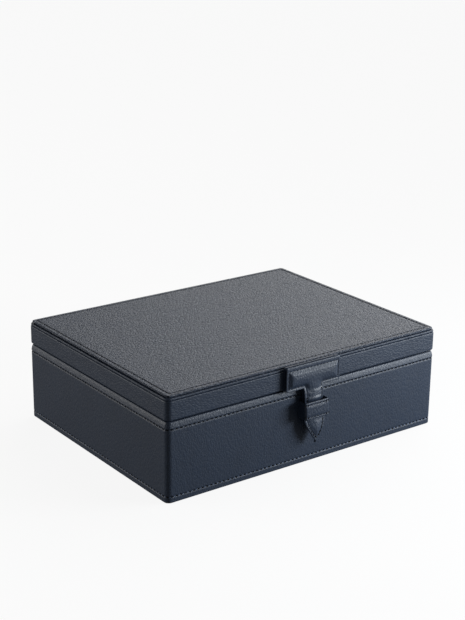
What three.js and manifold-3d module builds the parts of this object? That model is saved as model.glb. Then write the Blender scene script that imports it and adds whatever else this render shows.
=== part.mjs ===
// A leather jewellery case. A board carcass and a shallow lid are covered in grained leather and joined by
// two brass stop hinges. A T-shaped leather tab on the lid ends in a tongue that slides down behind a
// keeper on the base. Inside are a lift-out tray with ring rolls, lined compartments below it, and a mirror
// in the lid.
//
// Millimetres, +Z up. The origin is the middle of the underside. The front, with the tab, faces -Y.
import * as THREE from "three";
import { mergeVertices } from "three/addons/utils/BufferGeometryUtils.js";
import Module from "manifold-3d";

const wasm = await Module();
wasm.setup();

// ---------------------------------------------------------------------------------------------------------
// Driving dimensions
// ---------------------------------------------------------------------------------------------------------
const WIDTH = 260; // outside, over the leather
const DEPTH = 200; // outside, over the leather, without tab, keeper and hinge barrels
const BASE_HEIGHT = 62.8; // floor to the base's rim
const SEAM_GAP = 1; // between the two rims when the lid is shut
const LID_HEIGHT = 19.2; // lid's rim to the top surface
const CORNER_RADIUS = 4.5; // upright corners, over the leather

const LEATHER = 1.2;
const GLUE = 0.2; // between two glued or resting layers
const WALL = 8; // side boards of base and lid
const PANEL = 5; // bottom and top boards
const CUT = 1; // how far a cutting tool runs past what it cuts

const FOOT_GAP = 0.6; // leather stands this far off the table, on the felt
const TURN_UNDER = 12; // leather turned under the bottom and over the lid's top board
const TOP_PANEL_INSET = 1.5; // top panel inside the lid's sides
const TOP_PANEL_THICKNESS = 2.4;
const TOP_CARD_THICKNESS = 1;
const TOP_CARD_INSET = 5; // card inside the top panel's edge

const HINGE_INSET = 55; // hinge middle to the case's side
const HINGE_LENGTH = 40;
const HINGE_LEAF = 1.5; // leaf thickness
const HINGE_LEAF_SETBACK = 0.6; // leaf's front edge behind the board's inner face
const HINGE_LEAF_GAP = 0.4; // least distance between the two leaves when the lid is shut
const BARREL_RADIUS = 2.2;
const BARREL_CLEARANCE = 0.4;
const BARREL_OFFSET = 1.6; // hinge axis behind the case's back
const KNUCKLES = 5;
const KNUCKLE_GAP = 0.4;
const PIN_RADIUS = 1;
const PIN_CLEARANCE = 0.1;
const STOP_ANGLE = 96; // opening at which the two leaves' stop ribs meet, in degrees
const STOP_RIB_REACH = 2.4; // beyond the barrel
const STOP_RIB_THICKNESS = 1.4;
const SCREW_CLEARANCE = 0.3;
const SCREW_SPACING = 24;
const SCREW_LENGTH = 9;
const SCREW_HEAD_RADIUS = 1.8;
const SCREW_HEAD_HEIGHT = 0.9;
const SCREW_SHANK_RADIUS = 0.9;

const FLOOR_PAD = 2.5;
const LINER = 4; // lower wall liners, whose top edges carry the tray
const LOWER_DIVIDER = 4;
const LOWER_DIVIDER_DROP = 1.2; // dividers end this far below the tray
const LOWER_LEFT_CELL = 96; // width of the front row's left cell

const TRAY_DROP = 4.8; // tray's top edge below the base's rim
const TRAY_HEIGHT = 25;
const TRAY_CLEARANCE = 1; // each side, between tray and base
const TRAY_FLOOR = 3;
const TRAY_WALL = 4;
const TRAY_DIVIDER = 3;
const TRAY_DIVIDER_DROP = 2; // dividers end below the tray's edge
const RING_ZONE_WIDTH = 100;
const RING_ROLLS = 5;
const RING_ROLL_PITCH = 24;
const RING_ROLL_HEIGHT = 16;
const SOFT_GAP = 0.4; // padded pieces keep this from their neighbours
const CHAIN_CELL_DEPTH = 98; // back cell on the tray's right side
const PULL_WIDTH = 16;
const PULL_HEIGHT = 18;
const PULL_RISE = 4; // above the tray's edge
const PULL_THICKNESS = 1.2;

const MIRROR_WIDTH = 150;
const MIRROR_DEPTH = 110;
const MIRROR_GLASS = 2.2;
const MIRROR_RADIUS = 3;
const LID_PAD = 2.8;
const MIRROR_GAP = 0.3;

const BAR_WIDTH = 52;
const BAR_TOP_DROP = 0.4; // bar's top edge below the lid's top surface
const BAR_OVERHANG = 0.7; // bar's bottom edge below the lid's rim
const BAR_RADIUS = 1;
const TAB_EDGE = 2.2; // front leather with its edge folded in
const TAB_BORDER = 3; // flat, stitched border around the raised middle
const TAB_RAISE = 1;
const TAB_FILLER = 1.6;
const FLEX_GAP = 0.3; // cut between bar and tongue where the leather flexes
const TONGUE_WIDTH = 19.2;
const TONGUE_LENGTH = 44.2;
const TONGUE_POINT = 18.5; // length of the pointed end
const TONGUE_STANDOFF = 1.6; // tongue's back off the case's front
const KEEPER_DROP = 9.6; // keeper's top edge below the base's rim
const KEEPER_HEIGHT = 14;
const KEEPER_STRAP = 1.6;
const KEEPER_SIDE_GAP = 0.6;
const KEEPER_FRONT_GAP = 2.1; // between the tongue and the strap in front of it
const KEEPER_RADIUS = 2.4;

const ARC_STEPS = 8; // segments in a quarter turn of a corner

// ---------------------------------------------------------------------------------------------------------
// Places that follow from the dimensions
// ---------------------------------------------------------------------------------------------------------
const SKIN = LEATHER + GLUE; // outside face to board
const BOARD_INNER = SKIN + WALL; // outside face to a board's inner face
const LIP_OUTER = BOARD_INNER + GLUE;
const INNER = LIP_OUTER + LEATHER; // outside face to the leather turned in over the rim

const LID_RIM_Z = BASE_HEIGHT + SEAM_GAP;
const TOP_Z = LID_RIM_Z + LID_HEIGHT;
const BAND_TOP_Z = TOP_Z - TOP_PANEL_THICKNESS - GLUE;
const HINGE_Y = DEPTH / 2 + BARREL_OFFSET;
const HINGE_Z = BASE_HEIGHT + SEAM_GAP / 2;

const BOTTOM_BOARD_Z = FOOT_GAP + SKIN;
const BASE_BOARD_Z = BOTTOM_BOARD_Z + PANEL + GLUE;
const BASE_BOARD_TOP_Z = BASE_HEIGHT - SKIN;
const LID_BOARD_Z = LID_RIM_Z + SKIN;
const TOP_BOARD_Z = BAND_TOP_Z - SKIN - PANEL;
const LID_BOARD_TOP_Z = TOP_BOARD_Z - GLUE;

const FLOOR_PAD_Z = BOTTOM_BOARD_Z + PANEL + GLUE;
const LOWER_Z = FLOOR_PAD_Z + FLOOR_PAD + GLUE;
const TRAY_TOP_Z = BASE_HEIGHT - TRAY_DROP;
const TRAY_Z = TRAY_TOP_Z - TRAY_HEIGHT;
const LEDGE_Z = TRAY_Z - GLUE;

const BAR_Z = LID_RIM_Z - BAR_OVERHANG;
const TONGUE_TOP_Z = BAR_Z - FLEX_GAP;
const TAB_FRONT = LEATHER + GLUE + TAB_EDGE; // tab's border, back face to front face
const KEEPER_INNER = TONGUE_STANDOFF + TAB_FRONT + TAB_RAISE + KEEPER_FRONT_GAP;

// ---------------------------------------------------------------------------------------------------------
// Materials
// ---------------------------------------------------------------------------------------------------------
function material(color, roughness, metalness = 0) {
  return new THREE.MeshStandardMaterial({ color, roughness, metalness });
}

const navyLeather = material(0x252c38, 0.5);
const suede = material(0xa79a8a, 0.95);
const board = material(0xb08d62, 0.9);
const felt = material(0x1d2027, 1);
const brass = material(0xb8975a, 0.3, 1);
const silvered = material(0xd8dde0, 0.05, 1);

// ---------------------------------------------------------------------------------------------------------
// Shapes and solids
// ---------------------------------------------------------------------------------------------------------
function roundedRectangle(width, depth, radius) {
  const x = width / 2 - radius;
  const y = depth / 2 - radius;
  const shape = new THREE.Shape();
  shape.absarc(x, -y, radius, -Math.PI / 2, 0);
  shape.absarc(x, y, radius, 0, Math.PI / 2);
  shape.absarc(-x, y, radius, Math.PI / 2, Math.PI);
  shape.absarc(-x, -y, radius, Math.PI, 1.5 * Math.PI);
  shape.closePath();
  return shape;
}

// The case's plan, this far inside the outside face.
function plan(inset) {
  const radius = Math.max(CORNER_RADIUS - inset, LEATHER / 2);
  return roundedRectangle(WIDTH - 2 * inset, DEPTH - 2 * inset, radius);
}

function prism(shape, bottom, top) {
  const made = new THREE.ExtrudeGeometry(shape, {
    depth: top - bottom,
    bevelEnabled: false,
    curveSegments: ARC_STEPS,
  });
  return made.translate(0, 0, bottom);
}

// A block from its lowest corner to its highest.
function block(low, high) {
  const size = high.map((value, axis) => value - low[axis]);
  const middle = high.map((value, axis) => (value + low[axis]) / 2);
  return new THREE.BoxGeometry(...size).translate(...middle);
}

// A cylinder along X, between two places on X.
function rod(radius, from, to, y, z, sides = 24) {
  const made = new THREE.CylinderGeometry(radius, radius, to - from, sides);
  return made.rotateZ(Math.PI / 2).translate((from + to) / 2, y, z);
}

// A shape drawn in X and Z, as thick as the distance between two standoffs from the case's front.
function frontLayer(shape, back, front) {
  const made = new THREE.ExtrudeGeometry(shape, {
    depth: front - back,
    bevelEnabled: false,
    curveSegments: 2 * ARC_STEPS,
  });
  return made.rotateX(Math.PI / 2).translate(0, -DEPTH / 2 - back, 0);
}

function toSolid(geometry) {
  const bare = new THREE.BufferGeometry();
  bare.setAttribute("position", geometry.getAttribute("position"));
  if (geometry.index) bare.setIndex(geometry.index);
  const merged = mergeVertices(bare, 1e-3);
  return new wasm.Manifold(
    new wasm.Mesh({
      numProp: 3,
      vertProperties: merged.attributes.position.array,
      triVerts: new Uint32Array(merged.index.array),
    }),
  );
}

function toGeometry(made) {
  const mesh = made.getMesh();
  const geometry = new THREE.BufferGeometry();
  geometry.setAttribute("position", new THREE.BufferAttribute(mesh.vertProperties, 3));
  geometry.setIndex(new THREE.BufferAttribute(mesh.triVerts, 1));
  geometry.computeVertexNormals();
  return geometry;
}

function join(...geometries) {
  const solids = geometries.map(toSolid);
  return toGeometry(solids.reduce((whole, next) => whole.add(next)));
}

function cut(geometry, ...tools) {
  return toGeometry(tools.reduce((rest, tool) => rest.subtract(toSolid(tool)), toSolid(geometry)));
}

function place(group, name, geometry, finish, position = [0, 0, 0]) {
  const mesh = new THREE.Mesh(geometry, finish);
  mesh.name = name;
  mesh.position.set(...position);
  group.add(mesh);
  return mesh;
}

// ---------------------------------------------------------------------------------------------------------
// Carcass boards
// ---------------------------------------------------------------------------------------------------------

// A front or back board seen from above: its inner face is at y 0 and its outer corners are rounded.
function longBoard(bottom, top) {
  const half = WIDTH / 2 - SKIN;
  const radius = Math.max(CORNER_RADIUS - SKIN, LEATHER / 2);
  const shape = new THREE.Shape();
  shape.moveTo(-half, 0);
  shape.lineTo(half, 0);
  shape.absarc(half - radius, WALL - radius, radius, 0, Math.PI / 2);
  shape.absarc(-half + radius, WALL - radius, radius, Math.PI / 2, Math.PI);
  shape.closePath();
  return prism(shape, bottom, top);
}

function wallBoards(group, name, bottom, top) {
  const y = DEPTH / 2 - BOARD_INNER;
  const x = WIDTH / 2 - BOARD_INNER;
  const front = place(group, `${name}_front_board`, longBoard(bottom, top), board, [0, -y, 0]);
  front.rotation.z = Math.PI;
  const back = longBoard(bottom, top).translate(0, y, 0);
  place(group, `${name}_back_board`, cut(back, ...leafMortises(name), ...pilotHoles(name)), board);
  const side = block([x, -y + GLUE, bottom], [x + WALL, y - GLUE, top]);
  place(group, `${name}_right_board`, side, board);
  const left = place(group, `${name}_left_board`, side.clone(), board);
  left.rotation.z = Math.PI;
}

// ---------------------------------------------------------------------------------------------------------
// Hinges
// ---------------------------------------------------------------------------------------------------------
const HINGE_X = WIDTH / 2 - HINGE_INSET;
const HINGES = { left: -HINGE_X, right: HINGE_X };
const LEAF_FRONT_Y = DEPTH / 2 - BOARD_INNER + HINGE_LEAF_SETBACK;
const SCREW_Y = DEPTH / 2 - SKIN - WALL / 2;
const KNUCKLE_LENGTH = HINGE_LENGTH / KNUCKLES;

// The base's leaf lies on the base's back board and the lid's leaf under the lid's, as far from the axis as
// the board's edge or further, so that the two leaves stay clear of each other.
const LEAF_SEAT = Math.max(SEAM_GAP / 2 + SKIN - GLUE, HINGE_LEAF_GAP / 2 + HINGE_LEAF);
const LEAVES = {
  base: { bottom: HINGE_Z - LEAF_SEAT, top: HINGE_Z - LEAF_SEAT + HINGE_LEAF, first: 0 },
  lid: { bottom: HINGE_Z + LEAF_SEAT - HINGE_LEAF, top: HINGE_Z + LEAF_SEAT, first: 1 },
};

function knuckles(x, first, radius, extra) {
  const made = [];
  for (let i = first; i < KNUCKLES; i += 2) {
    const from = x - HINGE_LENGTH / 2 + i * KNUCKLE_LENGTH;
    made.push(rod(radius, from - extra, from + KNUCKLE_LENGTH + extra, HINGE_Y, HINGE_Z));
  }
  return made;
}

function screwHole(x, bottom, top, radius) {
  const made = new THREE.CylinderGeometry(radius, radius, top - bottom, 16);
  return made.rotateX(Math.PI / 2).translate(x, SCREW_Y, (bottom + top) / 2);
}

function screwPlaces(x) {
  return [x - SCREW_SPACING / 2, x + SCREW_SPACING / 2];
}

// A rib along the back of a leaf's knuckles. The two ribs face each other half the stop angle to either side
// of the closed seam, and meet when the lid is fully open.
function stopRib(x, side) {
  const half = HINGE_LENGTH / 2;
  const reach = BARREL_RADIUS + STOP_RIB_REACH;
  const sign = side === "lid" ? 1 : -1;
  const faces = [0, sign * STOP_RIB_THICKNESS];
  const rib = block([-half, PIN_RADIUS, Math.min(...faces)], [half, reach, Math.max(...faces)]);
  const angle = (sign * STOP_ANGLE * Math.PI) / 360;
  return rib.rotateX(angle).translate(x, HINGE_Y, HINGE_Z);
}

function hingeLeaf(x, side) {
  const { bottom, top, first } = LEAVES[side];
  const half = HINGE_LENGTH / 2;
  const leaf = block([x - half, LEAF_FRONT_Y, bottom], [x + half, HINGE_Y, top]);
  const others = knuckles(x, 1 - first, BARREL_RADIUS + BARREL_CLEARANCE, KNUCKLE_GAP / 2);
  const plates = cut(join(leaf, stopRib(x, side)), ...others);
  const whole = join(plates, ...knuckles(x, first, BARREL_RADIUS, -KNUCKLE_GAP / 2));
  const bore = rod(PIN_RADIUS + PIN_CLEARANCE, x - half - CUT, x + half + CUT, HINGE_Y, HINGE_Z);
  const headHole = SCREW_HEAD_RADIUS + SCREW_CLEARANCE;
  const holes = screwPlaces(x).map((at) => screwHole(at, bottom - CUT, top + CUT, headHole));
  return cut(whole, bore, ...holes);
}

// A countersunk wood screw with its head's top at z 0, pointing down.
function screw() {
  const neck = -SCREW_HEAD_HEIGHT;
  const shank = SCREW_SHANK_RADIUS;
  const profile = [
    [0, -SCREW_LENGTH],
    [shank * 0.4, -SCREW_LENGTH + shank],
    [shank, -SCREW_LENGTH + 2.5 * shank],
    [shank, neck],
    [SCREW_HEAD_RADIUS, -0.2],
    [SCREW_HEAD_RADIUS, 0],
    [0, 0],
  ];
  const points = profile.map(([radius, height]) => new THREE.Vector2(radius, height));
  return new THREE.LatheGeometry(points, 16).rotateX(Math.PI / 2);
}

// The hinge's share of one side's group: its leaf and the two screws in it.
function hingeSide(group, side) {
  const { bottom, top } = LEAVES[side];
  const down = side === "base";
  for (const [end, x] of Object.entries(HINGES)) {
    place(group, `${side}_hinge_leaf_${end}`, hingeLeaf(x, side), brass);
    screwPlaces(x).forEach((at, i) => {
      const made = place(group, `${side}_hinge_screw_${end}_${i + 1}`, screw(), brass);
      made.position.set(at, SCREW_Y, down ? top : bottom);
      if (!down) made.rotation.x = Math.PI;
    });
  }
}

// Holes for the screws in a back board.
function pilotHoles(side) {
  const { bottom, top } = LEAVES[side];
  const radius = SCREW_SHANK_RADIUS + SCREW_CLEARANCE;
  const reach = SCREW_LENGTH + SCREW_CLEARANCE;
  const span = side === "base" ? [top - reach, top] : [bottom, bottom + reach];
  return Object.values(HINGES).flatMap((x) => screwPlaces(x).map((at) => screwHole(at, ...span, radius)));
}

// Where a back board is let in for a leaf that is thicker than the leather beside it.
function leafMortises(side) {
  const { bottom, top } = LEAVES[side];
  return Object.values(HINGES).map((x) => {
    const half = HINGE_LENGTH / 2 + GLUE;
    return block([x - half, LEAF_FRONT_Y - GLUE, bottom - GLUE], [x + half, DEPTH / 2, top + GLUE]);
  });
}

// What the leather is cut away for: the leaf on its board and the barrel at the back.
function hingeRecesses(bottom, top) {
  return Object.values(HINGES).flatMap((x) => {
    const half = HINGE_LENGTH / 2 + BARREL_CLEARANCE;
    const radius = BARREL_RADIUS + BARREL_CLEARANCE;
    const inner = DEPTH / 2 - INNER - CUT;
    return [
      block([x - half, inner, bottom], [x + half, HINGE_Y, top]),
      rod(radius, x - half, x + half, HINGE_Y, HINGE_Z),
    ];
  });
}

// ---------------------------------------------------------------------------------------------------------
// Base: carcass, leather, felt, keeper
// ---------------------------------------------------------------------------------------------------------
function baseLeather() {
  const rim = BASE_HEIGHT;
  const wall = cut(
    prism(plan(0), FOOT_GAP, rim),
    prism(plan(LEATHER), FOOT_GAP + LEATHER, rim - LEATHER),
    prism(plan(TURN_UNDER), FOOT_GAP - CUT, FOOT_GAP + LEATHER + CUT),
    prism(plan(INNER), rim - LEATHER - CUT, rim + CUT),
  );
  const lip = cut(
    prism(plan(LIP_OUTER), TRAY_Z, rim - LEATHER / 2),
    prism(plan(INNER), TRAY_Z - CUT, rim + CUT),
  );
  return cut(join(wall, lip), ...hingeRecesses(LEAVES.base.bottom - GLUE, rim + CUT), ...keeperSlits());
}

function keeperZ() {
  const top = BASE_HEIGHT - KEEPER_DROP;
  return [top - KEEPER_HEIGHT, top];
}

const KEEPER_INNER_HALF = TONGUE_WIDTH / 2 + KEEPER_SIDE_GAP;
const KEEPER_OUTER_HALF = KEEPER_INNER_HALF + KEEPER_STRAP;

// The slits in the front leather that the keeper's two ends go through.
function keeperSlits() {
  const [bottom, top] = keeperZ();
  const front = -DEPTH / 2 - CUT;
  return [-1, 1].map((side) => {
    const edges = [side * (KEEPER_INNER_HALF - GLUE), side * (KEEPER_OUTER_HALF + GLUE)];
    const low = [Math.min(...edges), front, bottom - GLUE];
    const high = [Math.max(...edges), front + 2 * CUT + LEATHER, top + GLUE];
    return block(low, high);
  });
}

// A strap bridging the tongue, seen from above: Y runs towards the case.
function keeper() {
  const [bottom, top] = keeperZ();
  const foot = -DEPTH / 2 + LEATHER;
  const inner = -DEPTH / 2 - KEEPER_INNER;
  const outer = inner - KEEPER_STRAP;
  const shape = new THREE.Shape();
  const bend = KEEPER_RADIUS;
  const tight = Math.max(bend - KEEPER_STRAP, GLUE);
  shape.moveTo(-KEEPER_OUTER_HALF, foot);
  shape.absarc(-KEEPER_OUTER_HALF + bend, outer + bend, bend, Math.PI, 1.5 * Math.PI);
  shape.absarc(KEEPER_OUTER_HALF - bend, outer + bend, bend, 1.5 * Math.PI, 2 * Math.PI);
  shape.lineTo(KEEPER_OUTER_HALF, foot);
  shape.lineTo(KEEPER_INNER_HALF, foot);
  shape.absarc(KEEPER_INNER_HALF - tight, inner + tight, tight, 0, -Math.PI / 2, true);
  shape.absarc(-KEEPER_INNER_HALF + tight, inner + tight, tight, -Math.PI / 2, -Math.PI, true);
  shape.lineTo(-KEEPER_INNER_HALF, foot);
  shape.closePath();
  return prism(shape, bottom, top);
}

function makeBase() {
  const group = new THREE.Group();
  place(group, "base_leather_wrap", baseLeather(), navyLeather);
  place(group, "base_bottom_board", prism(plan(SKIN), BOTTOM_BOARD_Z, BOTTOM_BOARD_Z + PANEL), board);
  wallBoards(group, "base", BASE_BOARD_Z, BASE_BOARD_TOP_Z);
  place(group, "underside_felt", prism(plan(TURN_UNDER + GLUE), 0, FOOT_GAP + LEATHER), felt);
  place(group, "tab_keeper", keeper(), navyLeather);
  hingeSide(group, "base");
  for (const [end, x] of Object.entries(HINGES)) {
    const half = HINGE_LENGTH / 2;
    place(group, `hinge_pin_${end}`, rod(PIN_RADIUS, x - half, x + half, HINGE_Y, HINGE_Z), brass);
  }
  return group;
}

// ---------------------------------------------------------------------------------------------------------
// Base lining: floor pad, liners that carry the tray, dividers
// ---------------------------------------------------------------------------------------------------------
function makeLowerLining() {
  const group = new THREE.Group();
  const x = WIDTH / 2 - LIP_OUTER;
  const y = DEPTH / 2 - LIP_OUTER;
  const innerX = x - LINER;
  const innerY = y - LINER;
  const top = LEDGE_Z;
  place(group, "floor_pad", block([-x, -y, FLOOR_PAD_Z], [x, y, FLOOR_PAD_Z + FLOOR_PAD]), suede);
  place(group, "liner_front", block([-x, -y, LOWER_Z], [x, -innerY, top]), suede);
  place(group, "liner_back", block([-x, innerY, LOWER_Z], [x, y, top]), suede);
  const endY = innerY - GLUE;
  place(group, "liner_left", block([-x, -endY, LOWER_Z], [-innerX, endY, top]), suede);
  place(group, "liner_right", block([innerX, -endY, LOWER_Z], [x, endY, top]), suede);

  const half = LOWER_DIVIDER / 2;
  const spanX = innerX - GLUE;
  const dividerTop = LEDGE_Z - LOWER_DIVIDER_DROP;
  place(group, "lower_divider_long", block([-spanX, -half, LOWER_Z], [spanX, half, dividerTop]), suede);
  const at = -innerX + LOWER_LEFT_CELL;
  const short = block([at, -innerY + GLUE, LOWER_Z], [at + LOWER_DIVIDER, -half - GLUE, dividerTop]);
  place(group, "lower_divider_short", short, suede);
  return group;
}

// ---------------------------------------------------------------------------------------------------------
// Tray
// ---------------------------------------------------------------------------------------------------------
const TRAY_X = WIDTH / 2 - INNER - TRAY_CLEARANCE;
const TRAY_Y = DEPTH / 2 - INNER - TRAY_CLEARANCE;

// A foam roll under suede, lying along X, flat below and round on top.
function ringRoll(length) {
  const half = RING_ROLL_PITCH / 2 - SOFT_GAP / 2;
  const shape = new THREE.Shape();
  const crown = RING_ROLL_HEIGHT / 2;
  shape.moveTo(-half, 0);
  shape.lineTo(half, 0);
  shape.lineTo(half, RING_ROLL_HEIGHT - crown);
  shape.absellipse(0, RING_ROLL_HEIGHT - crown, half, crown, 0, Math.PI);
  shape.closePath();
  const made = prism(shape, 0, length);
  return made.rotateX(Math.PI / 2).rotateZ(Math.PI / 2);
}

function makeTray() {
  const group = new THREE.Group();
  const x = TRAY_X;
  const y = TRAY_Y;
  const innerX = x - TRAY_WALL;
  const innerY = y - TRAY_WALL;
  const wallZ = TRAY_Z + TRAY_FLOOR + GLUE;
  const top = TRAY_TOP_Z;
  place(group, "tray_floor", block([-x, -y, TRAY_Z], [x, y, TRAY_Z + TRAY_FLOOR]), suede);
  place(group, "tray_wall_front", block([-x, -y, wallZ], [x, -innerY, top]), suede);
  place(group, "tray_wall_back", block([-x, innerY, wallZ], [x, y, top]), suede);
  const endY = innerY - GLUE;
  place(group, "tray_wall_left", block([-x, -endY, wallZ], [-innerX, endY, top]), suede);
  place(group, "tray_wall_right", block([innerX, -endY, wallZ], [x, endY, top]), suede);

  const dividerTop = top - TRAY_DIVIDER_DROP;
  const zoneEnd = -innerX + RING_ZONE_WIDTH;
  const right = zoneEnd + TRAY_DIVIDER;
  place(group, "tray_divider_long", block([zoneEnd, -endY, wallZ], [right, endY, dividerTop]), suede);
  const ringEnd = -innerY + RING_ROLLS * RING_ROLL_PITCH + SOFT_GAP;
  const leftDivider = block(
    [-innerX + GLUE, ringEnd, wallZ],
    [zoneEnd - GLUE, ringEnd + TRAY_DIVIDER, dividerTop],
  );
  place(group, "tray_divider_left", leftDivider, suede);
  const chainY = innerY - CHAIN_CELL_DEPTH;
  const rightDivider = block(
    [right + GLUE, chainY - TRAY_DIVIDER, wallZ],
    [innerX - GLUE, chainY, dividerTop],
  );
  place(group, "tray_divider_right", rightDivider, suede);

  const rollStart = GLUE + PULL_THICKNESS + SOFT_GAP;
  const roll = ringRoll(RING_ZONE_WIDTH - rollStart - SOFT_GAP);
  for (let i = 0; i < RING_ROLLS; i++) {
    const middle = -innerY + (i + 0.5) * RING_ROLL_PITCH + SOFT_GAP / 2;
    place(group, `ring_roll_${i + 1}`, roll.clone(), suede, [-innerX + rollStart, middle, wallZ]);
  }

  const pullTop = top + PULL_RISE;
  const half = PULL_WIDTH / 2;
  const pull = block([0, -half, pullTop - PULL_HEIGHT], [PULL_THICKNESS, half, pullTop]);
  place(group, "tray_pull_left", pull, navyLeather, [-innerX + GLUE, 0, 0]);
  place(group, "tray_pull_right", pull.clone(), navyLeather, [innerX - GLUE - PULL_THICKNESS, 0, 0]);
  return group;
}

// ---------------------------------------------------------------------------------------------------------
// Lid: carcass, leather, top panel, mirror, bar of the tab
// ---------------------------------------------------------------------------------------------------------
function lidLeather() {
  const wall = cut(
    prism(plan(0), LID_RIM_Z, BAND_TOP_Z),
    prism(plan(LEATHER), LID_RIM_Z + LEATHER, BAND_TOP_Z - LEATHER),
    prism(plan(TURN_UNDER), BAND_TOP_Z - LEATHER - CUT, BAND_TOP_Z + CUT),
    prism(plan(INNER), LID_RIM_Z - CUT, LID_RIM_Z + LEATHER + CUT),
  );
  const lip = cut(
    prism(plan(LIP_OUTER), LID_RIM_Z + LEATHER / 2, LID_BOARD_TOP_Z),
    prism(plan(INNER), LID_RIM_Z - CUT, LID_BOARD_TOP_Z + CUT),
  );
  return cut(join(wall, lip), ...hingeRecesses(LID_RIM_Z - CUT, LEAVES.lid.top + GLUE));
}

function topPanel() {
  const bottom = BAND_TOP_Z + GLUE;
  const cardTop = bottom + TOP_CARD_THICKNESS + GLUE;
  const pocket = prism(plan(TOP_PANEL_INSET + TOP_CARD_INSET - GLUE), bottom - CUT, cardTop);
  return cut(prism(plan(TOP_PANEL_INSET), bottom, TOP_Z), pocket);
}

function makeLid() {
  const group = new THREE.Group();
  place(group, "lid_leather_band", lidLeather(), navyLeather);
  const topBoard = prism(plan(SKIN), TOP_BOARD_Z, TOP_BOARD_Z + PANEL);
  place(group, "lid_top_board", cut(topBoard, ...pilotHoles("lid")), board);
  wallBoards(group, "lid", LID_BOARD_Z, LID_BOARD_TOP_Z);
  place(group, "lid_top_leather", topPanel(), navyLeather);
  const cardZ = BAND_TOP_Z + GLUE;
  const card = prism(plan(TOP_PANEL_INSET + TOP_CARD_INSET), cardZ, cardZ + TOP_CARD_THICKNESS);
  place(group, "lid_top_card", card, board);
  hingeSide(group, "lid");

  const padTop = TOP_BOARD_Z - GLUE;
  const gap = 2 * MIRROR_GAP;
  const window = roundedRectangle(MIRROR_WIDTH + gap, MIRROR_DEPTH + gap, MIRROR_RADIUS + MIRROR_GAP);
  const pad = cut(
    prism(plan(INNER + GLUE), padTop - LID_PAD, padTop),
    prism(window, padTop - LID_PAD - CUT, padTop + CUT),
  );
  place(group, "lid_lining_pad", pad, suede);
  const glass = roundedRectangle(MIRROR_WIDTH, MIRROR_DEPTH, MIRROR_RADIUS);
  place(group, "lid_mirror", prism(glass, padTop - MIRROR_GLASS, padTop), silvered);
  return group;
}

// ---------------------------------------------------------------------------------------------------------
// Tab: two sewn layers with a filler. The bar is fixed to the lid and the tongue flexes below it.
// ---------------------------------------------------------------------------------------------------------
function barOutline(inset) {
  const top = TOP_Z - BAR_TOP_DROP;
  const height = top - BAR_Z - 2 * inset;
  const shape = roundedRectangle(BAR_WIDTH - 2 * inset, height, BAR_RADIUS);
  const points = shape.getPoints(ARC_STEPS);
  return new THREE.Shape(points.map((p) => new THREE.Vector2(p.x, p.y + (top + BAR_Z) / 2)));
}

// Straight sides, then two arcs that meet in a point. Each arc starts upright and passes through the point.
function tongueOutline(inset) {
  const half = TONGUE_WIDTH / 2 - inset;
  const top = TONGUE_TOP_Z - inset;
  const point = TONGUE_POINT - inset;
  const shoulder = TONGUE_TOP_Z - TONGUE_LENGTH + TONGUE_POINT;
  const radius = (half * half + point * point) / (2 * half);
  const sweep = Math.asin(point / radius);
  const shape = new THREE.Shape();
  shape.moveTo(half, top);
  shape.lineTo(-half, top);
  shape.absarc(radius - half, shoulder, radius, Math.PI, Math.PI + sweep);
  shape.absarc(half - radius, shoulder, radius, -sweep, 0);
  shape.closePath();
  return shape;
}

// The back layer, and the front layer raised over a filler, at this standoff from the case's front.
function tabLayers(outline, standoff) {
  const front = standoff + LEATHER + GLUE;
  const border = standoff + TAB_FRONT;
  const middle = border + TAB_RAISE;
  const pocket = front + TAB_FILLER + GLUE;
  const raised = join(
    frontLayer(outline(0), front, border),
    frontLayer(outline(TAB_BORDER), front + GLUE, middle),
  );
  return {
    back: frontLayer(outline(0), standoff, standoff + LEATHER),
    front: cut(raised, frontLayer(outline(TAB_BORDER + LEATHER), front - CUT, pocket)),
    filler: frontLayer(outline(TAB_BORDER + LEATHER + GLUE), front, front + TAB_FILLER),
  };
}

function makeBar() {
  const group = new THREE.Group();
  const { back, front, filler } = tabLayers(barOutline, GLUE);
  place(group, "tab_bar_back", back, navyLeather);
  place(group, "tab_bar_front", front, navyLeather);
  place(group, "tab_bar_filler", filler, felt);
  return group;
}

function makeTongue() {
  const group = new THREE.Group();
  const { back, front, filler } = tabLayers(tongueOutline, TONGUE_STANDOFF);
  place(group, "tongue_back", back, navyLeather);
  place(group, "tongue_front", front, navyLeather);
  place(group, "tongue_filler", filler, felt);
  return group;
}

// ---------------------------------------------------------------------------------------------------------
// The case
// ---------------------------------------------------------------------------------------------------------
const jewelleryCase = new THREE.Group();
jewelleryCase.add(makeBase());
jewelleryCase.add(makeLowerLining());
jewelleryCase.add(makeTray());
jewelleryCase.add(makeLid());
jewelleryCase.add(makeBar());
jewelleryCase.add(makeTongue());

export default jewelleryCase;
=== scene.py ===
# A leather jewellery case: the visible pieces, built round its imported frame.
# Metres, +Z up. Sizes of the case are written in millimetres and multiplied by MM; places of lights
# and camera are in metres.
import math

import bmesh
import bpy
import numpy as np
from mathutils import Matrix, Vector


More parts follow.
